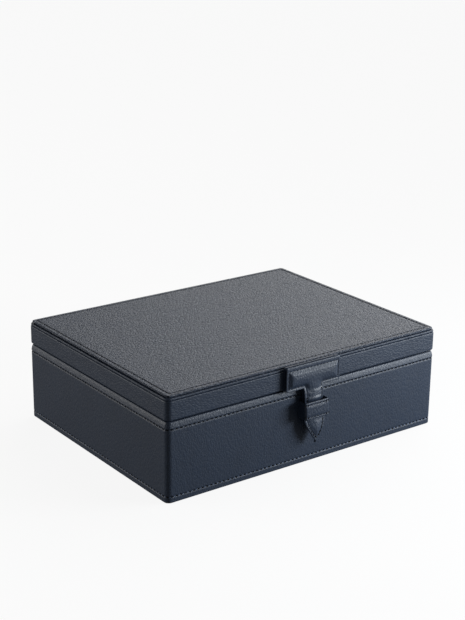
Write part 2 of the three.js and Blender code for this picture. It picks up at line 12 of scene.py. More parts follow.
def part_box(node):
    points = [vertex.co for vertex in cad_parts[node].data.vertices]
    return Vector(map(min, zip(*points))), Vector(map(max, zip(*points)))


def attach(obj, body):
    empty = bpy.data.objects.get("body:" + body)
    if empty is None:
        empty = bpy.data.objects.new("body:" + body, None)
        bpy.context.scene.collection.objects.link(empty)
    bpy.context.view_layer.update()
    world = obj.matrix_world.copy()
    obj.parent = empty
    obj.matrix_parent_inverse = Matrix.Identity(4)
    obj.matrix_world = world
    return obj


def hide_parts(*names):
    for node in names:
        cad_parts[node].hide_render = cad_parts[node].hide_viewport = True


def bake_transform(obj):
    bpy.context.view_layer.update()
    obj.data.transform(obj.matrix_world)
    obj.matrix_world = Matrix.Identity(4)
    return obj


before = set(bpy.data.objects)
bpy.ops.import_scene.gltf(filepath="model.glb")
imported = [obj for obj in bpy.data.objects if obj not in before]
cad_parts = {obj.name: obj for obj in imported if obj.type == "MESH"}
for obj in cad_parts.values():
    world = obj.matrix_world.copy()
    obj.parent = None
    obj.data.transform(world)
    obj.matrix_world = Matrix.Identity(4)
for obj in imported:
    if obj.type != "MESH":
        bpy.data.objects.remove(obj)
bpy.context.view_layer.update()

MM = 0.001

# ---- Places taken from the frame ----
wrap_low, wrap_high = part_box("base_leather_wrap")
band_low, band_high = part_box("lid_leather_band")
panel_low, panel_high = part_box("lid_top_leather")
bar_low, bar_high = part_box("tab_bar_front")
tongue_low, tongue_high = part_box("tongue_front")
keeper_low, keeper_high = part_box("tab_keeper")

HALF_X = wrap_high.x / MM
HALF_Y = wrap_high.y / MM
BASE_FOOT = wrap_low.z / MM
BASE_RIM = wrap_high.z / MM
LID_RIM = band_low.z / MM
BAND_TOP = band_high.z / MM
PANEL_UNDER = panel_low.z / MM
PANEL_TOP = panel_high.z / MM
TRAY_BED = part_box("tray_floor")[0].z / MM
LINING_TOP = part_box("lid_front_board")[1].z / MM

CORNER = 4.5  # upright corners, over the leather
CORNER_STEPS = 8
LEATHER = 1.2  # thickness
THIN_LEATHER = 0.9  # on the lid band and the top panel
LEAF_ROOM = 2.6  # depth of the cut-outs for the hinge leaves into the boards
INNER = 10.8  # outside face to the leather turned in over the rim
TURN_UNDER = 12  # width of the leather turned in under a covered face
BASE_SIDE = 0.1  # the base's leather behind the outside face
BAND_SIDE = 0.06  # the lid band's
BAND_SHOULDER = 79.0  # top of the band's flat side
BEAD_TOP = 80.95  # top of the rounded edge above the shoulder
FOOT_EDGE = 0.12  # the leather hangs a hair lower at its folded edge
PANEL_INSET = HALF_X - panel_high.x / MM

BASE_SEAM_TOP = 57.2
BASE_SEAM_BOTTOM = 5.0
PANEL_SEAM_INSET = 5.3
PANEL_GROOVE = 0.28  # depth of the groove that the top panel's stitches lie in
STITCH_PITCH = 3.8
STITCH_THICK = 0.5
STITCH_LEAN = 0.1  # rise of each stitch for one of length
TAB_PITCH = 3.2
TAB_STITCH_THICK = 0.42
TAB_HOLE = 0.7  # radius of the near-black disc painted as the shade in each awl hole in the tab and the keeper
HOLE_GAP = 1.4  # thread hidden in the leather between two stitches


# ---- Working in edit mode ----
def deselect():
    if bpy.context.mode != "OBJECT":
        bpy.ops.object.mode_set(mode="OBJECT")
    bpy.ops.object.select_all(action="DESELECT")


def take(piece):
    """Makes this the one piece that operators act on."""
    deselect()
    piece.select_set(True)
    bpy.context.view_layer.objects.active = piece
    return piece


def open_piece(name):
    """A new piece with nothing in it, open in edit mode."""
    deselect()
    bpy.ops.mesh.primitive_plane_add(size=1, location=(0, 0, 0))
    piece = bpy.context.object
    piece.name = name
    piece.data.name = name
    bpy.ops.object.mode_set(mode="EDIT")
    bpy.ops.mesh.select_all(action="SELECT")
    bpy.ops.mesh.delete(type="VERT")
    bpy.context.tool_settings.mesh_select_mode = (True, False, False)
    return piece


def tidy_normals():
    bpy.context.tool_settings.mesh_select_mode = (True, False, False)
    bpy.ops.mesh.select_all(action="SELECT")
    bpy.ops.mesh.remove_doubles(threshold=1e-6)
    bpy.ops.mesh.normals_make_consistent(inside=False)


def finish_modifier(piece, kind, **values):
    take(piece)
    modifier = piece.modifiers.new(kind.title(), kind)
    for key, value in values.items():
        setattr(modifier, key, value)
    bpy.ops.object.modifier_apply(modifier=modifier.name)


def smooth(piece, degrees=35, weighted=True):
    take(piece)
    bpy.ops.object.shade_smooth_by_angle(angle=math.radians(degrees))
    if weighted:
        finish_modifier(piece, "WEIGHTED_NORMAL", keep_sharp=True, weight=80)


def points_of(piece):
    flat = np.zeros(len(piece.data.vertices) * 3)
    piece.data.vertices.foreach_get("co", flat)
    return flat.reshape(-1, 3)


def move_points(piece, points):
    piece.data.vertices.foreach_set("co", points.astype(np.float32).ravel())
    piece.data.update()


def smoothstep(value, low, high):
    share = np.clip((value - low) / (high - low), 0, 1)
    return share * share * (3 - 2 * share)


def bell(value, middle, width):
    return np.exp(-(((value - middle) / width) ** 2))


# ---- Shader groups ----
def new_group(name, inputs, outputs):
    group = bpy.data.node_groups.new(name, "ShaderNodeTree")
    for label, kind, value in inputs:
        socket = group.interface.new_socket(name=label, in_out="INPUT", socket_type=kind)
        if value is not None:
            socket.default_value = value
    for label, kind in outputs:
        group.interface.new_socket(name=label, in_out="OUTPUT", socket_type=kind)
    entry = group.nodes.new("NodeGroupInput")
    leave = group.nodes.new("NodeGroupOutput")
    return group, entry, leave


def math_node(tree, operation, first, second=None, third=None):
    node = tree.nodes.new("ShaderNodeMath")
    node.operation = operation
    for slot, value in enumerate((first, second, third)):
        if value is None:
            continue
        if isinstance(value, (int, float)):
            node.inputs[slot].default_value = value
        else:
            tree.links.new(value, node.inputs[slot])
    return node.outputs[0]


def texture(tree, kind, vector, scale, **values):
    node = tree.nodes.new(kind)
    tree.links.new(vector, node.inputs["Vector"])
    if isinstance(scale, (int, float)):
        node.inputs["Scale"].default_value = scale
    else:
        tree.links.new(scale, node.inputs["Scale"])
    for key, value in values.items():
        if key in node.inputs:
            node.inputs[key].default_value = value
        else:
            setattr(node, key, value)
    return node


def map_range(tree, value, low, high, to_low, to_high):
    node = tree.nodes.new("ShaderNodeMapRange")
    tree.links.new(value, node.inputs["Value"])
    for label, number in (
        ("From Min", low),
        ("From Max", high),
        ("To Min", to_low),
        ("To Max", to_high),
    ):
        node.inputs[label].default_value = number
    return node.outputs["Result"]


def vector_node(tree, operation, first, second):
    node = tree.nodes.new("ShaderNodeVectorMath")
    node.operation = operation
    for slot, value in enumerate((first, second)):
        if isinstance(value, (tuple, list)):
            node.inputs[slot].default_value = value
        else:
            name = "Scale" if operation == "SCALE" and slot == 1 else slot
            tree.links.new(value, node.inputs[name])
    return node.outputs["Value" if operation == "DOT_PRODUCT" else "Vector"]


def make_grain_group():
    """Pebbles with creases between them, over soft wrinkles. Height and Tone run from about 0 to 1;
    Tone is random patches plus painted shade, darker in the creases and lighter on the pebble tops.
    """
    group, entry, leave = new_group(
        "pebble_grain",
        [
            ("Vector", "NodeSocketVector", None),
            ("Pebbles per metre", "NodeSocketFloat", 900.0),
            ("Wrinkle share", "NodeSocketFloat", 0.3),
            ("Crease share", "NodeSocketFloat", 0.4),
        ],
        [("Height", "NodeSocketFloat"), ("Tone", "NodeSocketFloat")],
    )
    per_metre = entry.outputs["Pebbles per metre"]
    slow = math_node(group, "MULTIPLY", per_metre, 0.3)
    warp = texture(group, "ShaderNodeTexNoise", entry.outputs["Vector"], slow, Detail=2.0)
    centred = vector_node(group, "SUBTRACT", warp.outputs["Color"], (0.5, 0.5, 0.5))
    reach = math_node(group, "DIVIDE", 1.3, per_metre)
    scaled = vector_node(group, "SCALE", centred, reach)
    place = vector_node(group, "ADD", entry.outputs["Vector"], scaled)
    kind = "ShaderNodeTexVoronoi"
    cells = texture(group, kind, place, per_metre, feature="SMOOTH_F1", Smoothness=0.35)
    edges = texture(group, kind, place, per_metre, feature="DISTANCE_TO_EDGE")
    dome = map_range(group, cells.outputs["Distance"], 0.1, 0.75, 1.0, 0.0)
    crease = map_range(group, edges.outputs["Distance"], 0.0, 0.16, 0.0, 1.0)
    wide = math_node(group, "MULTIPLY", per_metre, 0.22)
    soft = texture(group, "ShaderNodeTexNoise", entry.outputs["Vector"], wide, Detail=3.0)
    wrinkle = map_range(group, soft.outputs["Fac"], 0.3, 0.7, 0.0, 1.0)
    creased = math_node(group, "MULTIPLY", crease, entry.outputs["Crease share"])
    wrinkled = math_node(group, "MULTIPLY", wrinkle, entry.outputs["Wrinkle share"])
    total = math_node(group, "ADD", math_node(group, "MULTIPLY", dome, 0.5), creased)
    total = math_node(group, "ADD", total, wrinkled)
    group.links.new(total, leave.inputs["Height"])
    patch = texture(group, "ShaderNodeTexNoise", entry.outputs["Vector"], 45.0, Detail=4.0)
    # Painted shade: part of the height goes into the tone, so creases come out darker and pebble tops
    # lighter.
    height_shade = math_node(group, "MULTIPLY", total, 0.45)
    tone = math_node(group, "MULTIPLY_ADD", patch.outputs["Fac"], 0.55, height_shade)
    group.links.new(tone, leave.inputs["Tone"])
    return group


def make_nap_group():
    """Short brushed fibres with darker and lighter strokes."""
    group, entry, leave = new_group(
        "suede_nap",
        [("Vector", "NodeSocketVector", None), ("Fibres per metre", "NodeSocketFloat", 3500.0)],
        [("Height", "NodeSocketFloat"), ("Stroke", "NodeSocketFloat")],
    )
    kind, vector = "ShaderNodeTexNoise", entry.outputs["Vector"]
    fibres = texture(group, kind, vector, entry.outputs["Fibres per metre"], Detail=3.0)
    strokes = texture(group, kind, vector, 60.0, Detail=3.0, Distortion=0.8)
    group.links.new(fibres.outputs["Fac"], leave.inputs["Height"])
    stroke = map_range(group, strokes.outputs["Fac"], 0.35, 0.65, 0.0, 1.0)
    group.links.new(stroke, leave.inputs["Stroke"])
    return group


GRAIN = make_grain_group()
NAP = make_nap_group()


# ---- Materials ----
def new_material(name, roughness, specular=0.5, metallic=0.0):
    made = bpy.data.materials.new(name)
    made.use_nodes = True
    tree = made.node_tree
    shader = tree.nodes["Principled BSDF"]
    shader.inputs["Roughness"].default_value = roughness
    shader.inputs["Specular IOR Level"].default_value = specular
    shader.inputs["Metallic"].default_value = metallic
    place = tree.nodes.new("ShaderNodeTexCoord")
    return made, tree, shader, place.outputs["Object"]


def mapped(tree, vector, turn, scale):
    node = tree.nodes.new("ShaderNodeMapping")
    node.inputs["Rotation"].default_value = [math.radians(angle) for angle in turn]
    node.inputs["Scale"].default_value = scale
    tree.links.new(vector, node.inputs["Vector"])
    return node.outputs["Vector"]


def colour_between(tree, shader, share, dark, light):
    node = tree.nodes.new("ShaderNodeMix")
    node.data_type = "RGBA"
    tree.links.new(share, node.inputs[0])
    node.inputs[6].default_value = (*dark, 1)
    node.inputs[7].default_value = (*light, 1)
    tree.links.new(node.outputs[2], shader.inputs["Base Color"])


def relief(tree, shader, height, depth):
    node = tree.nodes.new("ShaderNodeBump")
    node.inputs["Strength"].default_value = 1.0
    node.inputs["Distance"].default_value = depth
    tree.links.new(height, node.inputs["Height"])
    tree.links.new(node.outputs["Normal"], shader.inputs["Normal"])


def grained_leather(
    name,
    turn=(0, 0, 0),
    stretch=(1, 1, 1),
    pebbles=900.0,
    wrinkle=0.3,
    crease=0.4,
    depth=0.12,
    dark=(0.0090, 0.0145, 0.0265),
    light=(0.0160, 0.0245, 0.0430),
    roughness=(0.44, 0.56),
    specular=0.26,
):
    made, tree, shader, place = new_material(name, 0.5, specular)
    vector = mapped(tree, place, turn, stretch)
    grain = tree.nodes.new("ShaderNodeGroup")
    grain.node_tree = GRAIN
    tree.links.new(vector, grain.inputs["Vector"])
    grain.inputs["Pebbles per metre"].default_value = pebbles
    grain.inputs["Wrinkle share"].default_value = wrinkle
    grain.inputs["Crease share"].default_value = crease
    # the tone carries random patches and the painted crease shade
    colour_between(tree, shader, grain.outputs["Tone"], dark, light)
    rough = map_range(tree, grain.outputs["Height"], 0.2, 1.0, roughness[1], roughness[0])
    tree.links.new(rough, shader.inputs["Roughness"])
    relief(tree, shader, grain.outputs["Height"], depth * MM)
    return made


def napped_suede(name, dark, light, depth=0.08):
    made, tree, shader, place = new_material(name, 0.92, 0.2)
    shader.inputs["Sheen Weight"].default_value = 0.35
    shader.inputs["Sheen Roughness"].default_value = 0.5
    nap = tree.nodes.new("ShaderNodeGroup")
    nap.node_tree = NAP
    tree.links.new(place, nap.inputs["Vector"])
    colour_between(tree, shader, nap.outputs["Stroke"], dark, light)
    relief(tree, shader, nap.outputs["Height"], depth * MM)
    return made


def speckled(
    name, dark, light, scale, roughness, depth, metallic=0.0, specular=0.5, rough_spread=0.1
):
    made, tree, shader, place = new_material(name, roughness, specular, metallic)
    noise = texture(tree, "ShaderNodeTexNoise", place, scale, Detail=5.0, Roughness=0.65)
    share = map_range(tree, noise.outputs["Fac"], 0.3, 0.7, 0.0, 1.0)
    colour_between(tree, shader, share, dark, light)
    rough, fine = roughness + rough_spread, roughness - rough_spread
    rough = map_range(tree, noise.outputs["Fac"], 0.3, 0.7, rough, fine)
    tree.links.new(rough, shader.inputs["Roughness"])
    relief(tree, shader, noise.outputs["Fac"], depth * MM)
    return made


BASE_LEATHER = grained_leather(
    "base_leather", stretch=(1, 1, 0.45), pebbles=800, wrinkle=0.35, crease=0.3, depth=0.14
)
BAND_LEATHER = grained_leather(
    "lid_band_leather", stretch=(0.6, 0.6, 1.1), pebbles=640, wrinkle=0.45, crease=0.25, depth=0.17
)
PANEL_LEATHER = grained_leather(
    "top_panel_leather",
    turn=(0, 0, 38),
    stretch=(0.5, 1.1, 1),
    pebbles=720,
    wrinkle=0.1,
    crease=0.85,
    depth=0.29,
)
TAB_LEATHER = grained_leather(
    "tab_leather",
    turn=(0, 30, 0),
    stretch=(1, 1, 0.6),
    pebbles=640,
    wrinkle=0.4,
    crease=0.3,
    depth=0.16,
)
PULL_LEATHER = grained_leather("pull_leather", pebbles=1100, depth=0.1)
THREAD = speckled(
    "waxed_thread", (0.012, 0.017, 0.030), (0.026, 0.036, 0.060), 2500, 0.55, 0.03, specular=0.4
)
# The same navy thread made lighter: a painted highlight for the bottom seam, where the thread catches
# the light.
HIGHLIT_THREAD = speckled(
    "thread_painted_highlight", (0.035, 0.052, 0.095), (0.070, 0.100, 0.165), 2500, 0.55, 0.03, specular=0.4
)
# Near-black discs at the stitch ends: painted shade inside the awl holes, not a colour of the leather.
HOLE_SHADE = speckled(
    "painted_hole_shade", (0.001, 0.0012, 0.0016), (0.003, 0.0035, 0.0045), 2500, 0.9, 0.01, specular=0.1
)
SUEDE = napped_suede("suede_lining", (0.375, 0.318, 0.262), (0.435, 0.375, 0.315))
FIBREBOARD = speckled(
    "fibreboard", (0.36, 0.24, 0.13), (0.55, 0.39, 0.23), 900, 0.85, 0.08, specular=0.2
)
FELT = speckled("felt", (0.010, 0.012, 0.016), (0.022, 0.025, 0.032), 2600, 0.93, 0.12, specular=0.1)
BRASS = speckled(
    "brushed_brass",
    (0.62, 0.43, 0.17),
    (0.72, 0.53, 0.25),
    1400,
    0.3,
    0.01,
    metallic=1.0,
    rough_spread=0.06,
)
MIRROR = speckled(
    "silvered_glass",
    (0.84, 0.87, 0.88),
    (0.88, 0.90, 0.91),
    8,
    0.03,
    0.0005,
    metallic=1.0,
    rough_spread=0.01,
)


def dress(piece, material):
    piece.data.materials.clear()
    piece.data.materials.append(material)
    return piece


def ready(piece, body, material=None, replaces=()):
    """Dresses a finished piece and says what it rides on and stands for."""
    if bpy.context.mode != "OBJECT":
        bpy.ops.object.mode_set(mode="OBJECT")
    if material is not None:
        dress(piece, material)
    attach(piece, body)
    if replaces:
        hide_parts(*replaces)
    return piece


def lined(piece, body, *replaced):
    """Dresses a piece that is covered in suede."""
    return ready(piece, body, SUEDE, replaced)


# ---- Leather shells, lofted through rounded rectangles ----
def rounded_corner(before, corner, after, radius, steps):
    """Points of a fillet where two straight lines of a profile meet."""
    corner = np.array(corner, float)
    to_before = np.array(before, float) - corner
    to_after = np.array(after, float) - corner
    to_before /= np.linalg.norm(to_before)
    to_after /= np.linalg.norm(to_after)
    half = math.acos(np.clip(to_before @ to_after, -1, 1)) / 2
    middle = to_before + to_after
    middle /= np.linalg.norm(middle)
    centre = corner + middle * radius / math.sin(half)
    start = corner + to_before * radius / math.tan(half) - centre
    end = corner + to_after * radius / math.tan(half) - centre
    sweep = math.pi - 2 * half
    made = []
    for i in range(steps + 1):
        share = i / steps
        first = math.sin((1 - share) * sweep) / math.sin(sweep)
        last = math.sin(share * sweep) / math.sin(sweep)
        made.append(tuple(centre + start * first + end * last))
    return made


def profile_of(corners):
    """A profile from (inset, height, radius, steps) corners; radius 0 keeps the corner sharp."""
    made = []
    for i, (inset, height, radius, steps) in enumerate(corners):
        if radius and 0 < i < len(corners) - 1:
            made += rounded_corner(
                corners[i - 1][:2], (inset, height), corners[i + 1][:2], radius, steps
            )
        else:
            made.append((inset, height))
    return made


# A groove under a seam, as (place across it, share of its depth).
SEAM_SHAPE = [(-1, 0), (-0.75, 0.2), (-0.55, 0.8), (-0.35, 1)]
SEAM_SHAPE += [(-along, share) for along, share in SEAM_SHAPE[::-1]]


def seam_groove(inset, height, depth=0.32, half=1.1):
    """Where thread pulls the leather in on an upright side, from below to above."""
    return [(inset + share * depth, height + along * half, 0, 0) for along, share in SEAM_SHAPE]


def carried(point, before, after):
    """Where a point of one rounded rectangle lies on the next one."""
    half_x, half_y, radius, _ = before
    next_x, next_y, next_radius, height = after
    side_x = math.copysign(1, point.x)
    side_y = math.copysign(1, point.y)
    out_x = (point.x - side_x * (half_x - radius)) / radius
    out_y = (point.y - side_y * (half_y - radius)) / radius
    x = side_x * (next_x - next_radius) + out_x * next_radius
    y = side_y * (next_y - next_radius) + out_y * next_radius
    return Vector((x, y, height))


def loft(name, rings, close_start=False, close_end=False):
    """A shell through rings of (half_x, half_y, radius, height), in millimetres."""
    rings = [tuple(size * MM for size in ring) for ring in rings]
    half_x, half_y, radius, height = rings[0]
    piece = open_piece(name)
    bpy.ops.mesh.primitive_plane_add(size=2, location=(0, 0, height))
    bpy.ops.transform.resize(value=(half_x, half_y, 1))
    bpy.ops.mesh.bevel(affect="VERTICES", offset=radius, segments=CORNER_STEPS, profile=0.5)
    if not close_start:
        bpy.ops.mesh.delete(type="ONLY_FACE")
    bpy.ops.mesh.select_all(action="SELECT")
    for before, after in zip(rings, rings[1:]):
        bpy.ops.mesh.extrude_edges_move()
        mesh = bmesh.from_edit_mesh(piece.data)
        for vert in mesh.verts:
            if vert.select:
                vert.co = carried(vert.co, before, after)
        bmesh.update_edit_mesh(piece.data)
    if close_end:
        bpy.ops.mesh.edge_face_add()
    tidy_normals()
    deselect()
    return piece


def case_rings(profile):
    """Rings of the case's own plan, each this far inside the outside face."""
    return [
        (HALF_X - inset, HALF_Y - inset, max(CORNER - inset, LEATHER / 2), height)
        for inset, height in profile
    ]


def face_outwards(piece, outside):
    """Turns the shell's faces round if the one nearest this outside point looks away from it."""
    take(piece)
    target = Vector(outside) * MM
    nearest = min(piece.data.polygons, key=lambda face: (face.center - target).length)
    if nearest.normal.dot(target - nearest.center) < 0:
        piece.data.flip_normals()


def cut_away(piece, *cutters):
    for cutter in cutters:
        finish_modifier(piece, "BOOLEAN", operation="DIFFERENCE", solver="EXACT", object=cutter)
        bpy.data.objects.remove(cutter)


def box_cutter(low, high):
    """A block between two corners, in millimetres, with softened edges."""
    piece = open_piece("cutter")
    middle = [(a + b) / 2 * MM for a, b in zip(low, high)]
    size = [(b - a) / 2 * MM for a, b in zip(low, high)]
    bpy.ops.mesh.primitive_cube_add(size=2, location=middle, scale=size)
    bpy.ops.mesh.bevel(affect="EDGES", offset=0.3 * MM, segments=2)
    deselect()
    return piece


def barrel_cutter(x, radius, length, y, z):
    piece = open_piece("cutter")
    bpy.ops.mesh.primitive_cylinder_add(
        vertices=32,
        radius=radius * MM,
        depth=length * MM,
        location=(x * MM, y * MM, z * MM),
        rotation=(0, math.pi / 2, 0),
    )
    bpy.ops.mesh.select_all(action="SELECT")
    bpy.ops.mesh.normals_make_consistent(inside=False)
    deselect()
    return piece


def hinge_cutters(bottom, top):
    """Room for each hinge's leaf and barrel."""
    made = []
    for side in ("left", "right"):
        low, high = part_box(f"base_hinge_leaf_{side}")
        pin_low, pin_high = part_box(f"hinge_pin_{side}")
        axis = (pin_low + pin_high) / 2 / MM
        half = (high.x - low.x) / 2 / MM + 0.4
        back = axis.y
        made.append(
            box_cutter((axis.x - half, HALF_Y - INNER - 1.5, bottom), (axis.x + half, back, top))
        )
        made.append(barrel_cutter(axis.x, 2.6, 2 * half, axis.y, axis.z))
    return made


def make_base_wrap():
    side = BASE_SIDE
    corners = [
        (TURN_UNDER, BASE_FOOT, 0, 0),
        (4.0, BASE_FOOT, 2.0, 3),
        (2.6, FOOT_EDGE, 1.0, 3),
        (side, FOOT_EDGE, 0.7, 6),
        *seam_groove(side, BASE_SEAM_BOTTOM, depth=0.3),
        (side, 7.5, 0, 0),
        (side, 55.0, 0, 0),
        *seam_groove(side, BASE_SEAM_TOP),
        (0.0, 58.5, 0, 0),
        (0.2, 59.6, 0, 0),
        (0.6, 61.2, 0.8, 3),
        (1.2, BASE_RIM, 0.9, 6),
        (4.0, BASE_RIM, 0, 0),
        (INNER, BASE_RIM, 1.0, 5),
        (INNER, TRAY_BED, 0, 0),
    ]
    piece = loft("base_wrap", case_rings(profile_of(corners)))
    face_outwards(piece, (0, -2 * HALF_Y, 30))
    finish_modifier(piece, "SOLIDIFY", thickness=LEATHER * MM, offset=-1)
    board_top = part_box("base_back_board")[1].z / MM
    cut_away(piece, *hinge_cutters(board_top - LEAF_ROOM, BASE_RIM + 2))
    smooth(piece)
    return ready(piece, "base", BASE_LEATHER, ["base_leather_wrap"])


def make_lid_band():
    corners = [
        (INNER, LINING_TOP, 0, 0),
        (INNER, LID_RIM, 1.0, 5),
        (4.0, LID_RIM, 0, 0),
        (BAND_SIDE, LID_RIM, 1.4, 7),
        (BAND_SIDE, 70.0, 0, 0),
        (BAND_SIDE, BAND_SHOULDER, 0.9, 6),
        (1.5, BAND_SHOULDER, 0, 0),
        (1.62, 79.15, 0, 0),
        (1.5, 79.3, 0, 0),
        (0.35, 79.35, 0.45, 5),
        (0.45, BEAD_TOP, 0.5, 5),
        (2.0, BEAD_TOP, 0, 0),
        (2.6, BAND_TOP, 0, 0),
        (TURN_UNDER, BAND_TOP, 0, 0),
    ]
    piece = loft("lid_band", case_rings(profile_of(corners)))
    face_outwards(piece, (0, -2 * HALF_Y, 72))
    finish_modifier(piece, "SOLIDIFY", thickness=THIN_LEATHER * MM, offset=-1)
    board_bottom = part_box("lid_back_board")[0].z / MM
    cut_away(piece, *hinge_cutters(LID_RIM - 2, board_bottom + LEAF_ROOM))
    smooth(piece)
    return ready(piece, "lid", BAND_LEATHER, ["lid_leather_band"])


def make_top_panel():
    inset = PANEL_INSET
    groove = [
        (PANEL_SEAM_INSET + along, PANEL_TOP - share * PANEL_GROOVE, 0, 0)
        for along, share in SEAM_SHAPE
    ]
    corners = [
        (TURN_UNDER - 4, PANEL_UNDER, 0, 0),
        (inset + 1.3, PANEL_UNDER, 0, 0),
        (inset + 1.3, 81.5, 0, 0),
        (inset, 81.9, 0.25, 3),
        (inset, PANEL_TOP, 0.8, 6),
        (inset + 1.6, PANEL_TOP, 0, 0),
        *groove,
        (PANEL_SEAM_INSET + 3, PANEL_TOP, 0, 0),
    ]
    piece = loft("top_panel", case_rings(profile_of(corners)), close_end=True)
    face_outwards(piece, (0, 0, 2 * PANEL_TOP))
    finish_modifier(piece, "SOLIDIFY", thickness=THIN_LEATHER * MM, offset=-1)
    smooth(piece)
    return ready(piece, "lid", PANEL_LEATHER, ["lid_top_leather"])


# ---- Stitches ----
def make_stitch(name, length, thick, thread, hole=0.62):
    """One saddle stitch along X with a near-black disc at each end, painted shade for its awl hole,
    lying on Z 0.
    """
    piece = open_piece(name)
    bpy.ops.mesh.primitive_uv_sphere_add(
        segments=8, ring_count=6, radius=1, rotation=(0, math.pi / 2, 0)
    )
    bpy.ops.transform.resize(value=(length / 2 * MM, thick / 2 * MM, thick / 2 * MM))
    piece.data.materials.append(thread)
    piece.data.materials.append(HOLE_SHADE)
    for side in (-1, 1):
        bpy.ops.mesh.select_all(action="DESELECT")
        bpy.ops.mesh.primitive_cylinder_add(
            vertices=8,
            radius=hole * MM,
            depth=0.3 * MM,
            location=(side * (length / 2 + 0.1) * MM, 0, -0.06 * MM),
        )
        mesh = bmesh.from_edit_mesh(piece.data)
        for face in mesh.faces:
            if face.select:
                face.material_index = 1
        bmesh.update_edit_mesh(piece.data)
    deselect()
    return piece


def frame_matrix(place, along, out):
    along = Vector(along).normalized()
    out = Vector(out).normalized()
    across = out.cross(along)
    made = Matrix((along, across, out)).transposed().to_4x4()
    made.translation = Vector(place) * MM
    return made


def sew(name, stitch, places):
    """Copies one stitch to each place, joins the copies into one piece and takes the first away."""
    copies = []
    for place, along, out in places:
        copy = stitch.copy()
        copy.data = stitch.data.copy()
        bpy.context.scene.collection.objects.link(copy)
        copy.matrix_world = frame_matrix(place, along, out)
        copies.append(copy)
    bpy.context.view_layer.update()
    seam = open_piece(name)
    deselect()
    dress(seam, stitch.data.materials[0])
    seam.data.materials.append(HOLE_SHADE)
    for copy in copies:
        copy.select_set(True)
    seam.select_set(True)
    bpy.context.view_layer.objects.active = seam
    bpy.ops.object.join()
    smooth(seam, 50, weighted=False)
    bpy.data.objects.remove(stitch)
    return seam


def walk_round(half_x, half_y, radius, pitch):
    """Evenly spaced places round a rounded rectangle, each with its direction of travel."""
    straight_x = 2 * (half_x - radius)
    straight_y = 2 * (half_y - radius)
    arc = math.pi / 2 * radius
    lengths = [straight_x, arc, straight_y, arc, straight_x, arc, straight_y, arc]
    count = round(sum(lengths) / pitch)
    step = sum(lengths) / count
    centres = [
        (half_x - radius, -half_y + radius),
        (half_x - radius, half_y - radius),
        (-half_x + radius, half_y - radius),
        (-half_x + radius, -half_y + radius),
    ]
    starts = [(-half_x + radius, -half_y), (half_x, -half_y + radius)]
    starts += [(half_x - radius, half_y), (-half_x, half_y - radius)]
    made = []
    for i in range(count):
        way = (i + 0.5) * step
        leg = 0
        while way > lengths[leg]:
            way -= lengths[leg]
            leg += 1
        side = leg // 2
        heading = side * math.pi / 2
        if leg % 2 == 0:
            x = starts[side][0] + way * math.cos(heading)
            y = starts[side][1] + way * math.sin(heading)
        else:
            heading += way / radius
            centre = centres[side]
            x = centre[0] + radius * math.sin(heading)
            y = centre[1] - radius * math.cos(heading)
        made.append((x, y, heading))
    return made


def case_seam(name, body, inset, depth, height, thread, on_top=False):
    """Stitches round the case, on its sides or on its top, each lying this deep in the leather."""
    stitch = make_stitch("stitch", STITCH_PITCH - HOLE_GAP, STITCH_THICK, thread)
    half_x, half_y = HALF_X - inset - depth, HALF_Y - inset - depth
    places = []
    for x, y, heading in walk_round(half_x, half_y, max(CORNER - inset, 0.8), STITCH_PITCH):
        along = (math.cos(heading), math.sin(heading), 0 if on_top else STITCH_LEAN)
        out = (0, 0, 1) if on_top else (math.sin(heading), -math.cos(heading), 0)
        places.append(((x, y, height), along, out))
    return ready(sew(name, stitch, places), body)


# ---- The T-shaped tab: a bar sewn to the lid and a tongue below it, in one piece of leather ----
BAR_HALF = bar_high.x / MM
BAR_BOTTOM = bar_low.z / MM
BAR_TOP = bar_high.z / MM
STEM_HALF = tongue_high.x / MM
TIP = tongue_low.z / MM + 0.6
BAR_OFF = 0.2  # backs of bar and tongue off the case's front
TONGUE_OFF = 1.6
TAB_BACKING = 1.2
TAB_FACE = 2.2
TAB_STEP = 0.2 + TAB_BACKING  # face layer's back off the backing's back
STEM_COLUMNS = 36
BAR_ROWS = 38
WING_COLUMNS = 31
STEM_ROWS = 88
BAR_ROUND = 1.4  # corners of the bar
TAB_SEAM_INSET = 2.1
BAR_TOP_BORDER = 1.3  # how much wider the border is along the bar's top

# Half the tongue's width at each height, from the tip up.
STEM_WIDTHS = (
    (TIP, 0.0), (19.0, 0.45), (19.7, 1.1), (20.6, 1.7), (22.5, 3.1), (24.8, 4.6),
    (27.5, 6.15), (29.3, 7.1), (31.0, 7.95), (33.2, 8.85), (35.0, 9.35), (37.0, 9.7),
    (38.5, 9.75), (41.0, 9.5), (53.0, 9.1), (59.0, 9.3), (BAR_BOTTOM, STEM_HALF),
)


def stem_half(height):
    """Half the tongue's width at a height, in millimetres."""
    heights, widths = zip(*STEM_WIDTHS)
    return np.interp(height, heights, widths)


def stem_shift(height):
    """The tongue leans a little to the right towards its tip."""
    height = np.asarray(height, float)
    return 1.3 * smoothstep(-height, -46, -TIP) - 0.25 * bell(height, 53, 5)


def tab_outline():
    """The tab's outline from above its left shoulder round to its start, as points in X and Z."""
    made = []
    heights = np.linspace(BAR_BOTTOM, TIP, 60)
    right = [(stem_half(z) + stem_shift(z), z) for z in heights]
    left = [(-stem_half(z) + stem_shift(z), z) for z in heights[::-1]]
    round_off = BAR_ROUND
    for centre_x, centre_z, start in (
        (-BAR_HALF + round_off, BAR_BOTTOM + round_off, 270),
        (-BAR_HALF + round_off, BAR_TOP - round_off, 180),
        (BAR_HALF - round_off, BAR_TOP - round_off, 90),
        (BAR_HALF - round_off, BAR_BOTTOM + round_off, 0),
    ):
        for i in range(7):
            angle = math.radians(start - 15 * i)
            made.append(
                (centre_x + round_off * math.cos(angle), centre_z + round_off * math.sin(angle))
            )
    return np.array(made + right + left, float)


OUTLINE = tab_outline()


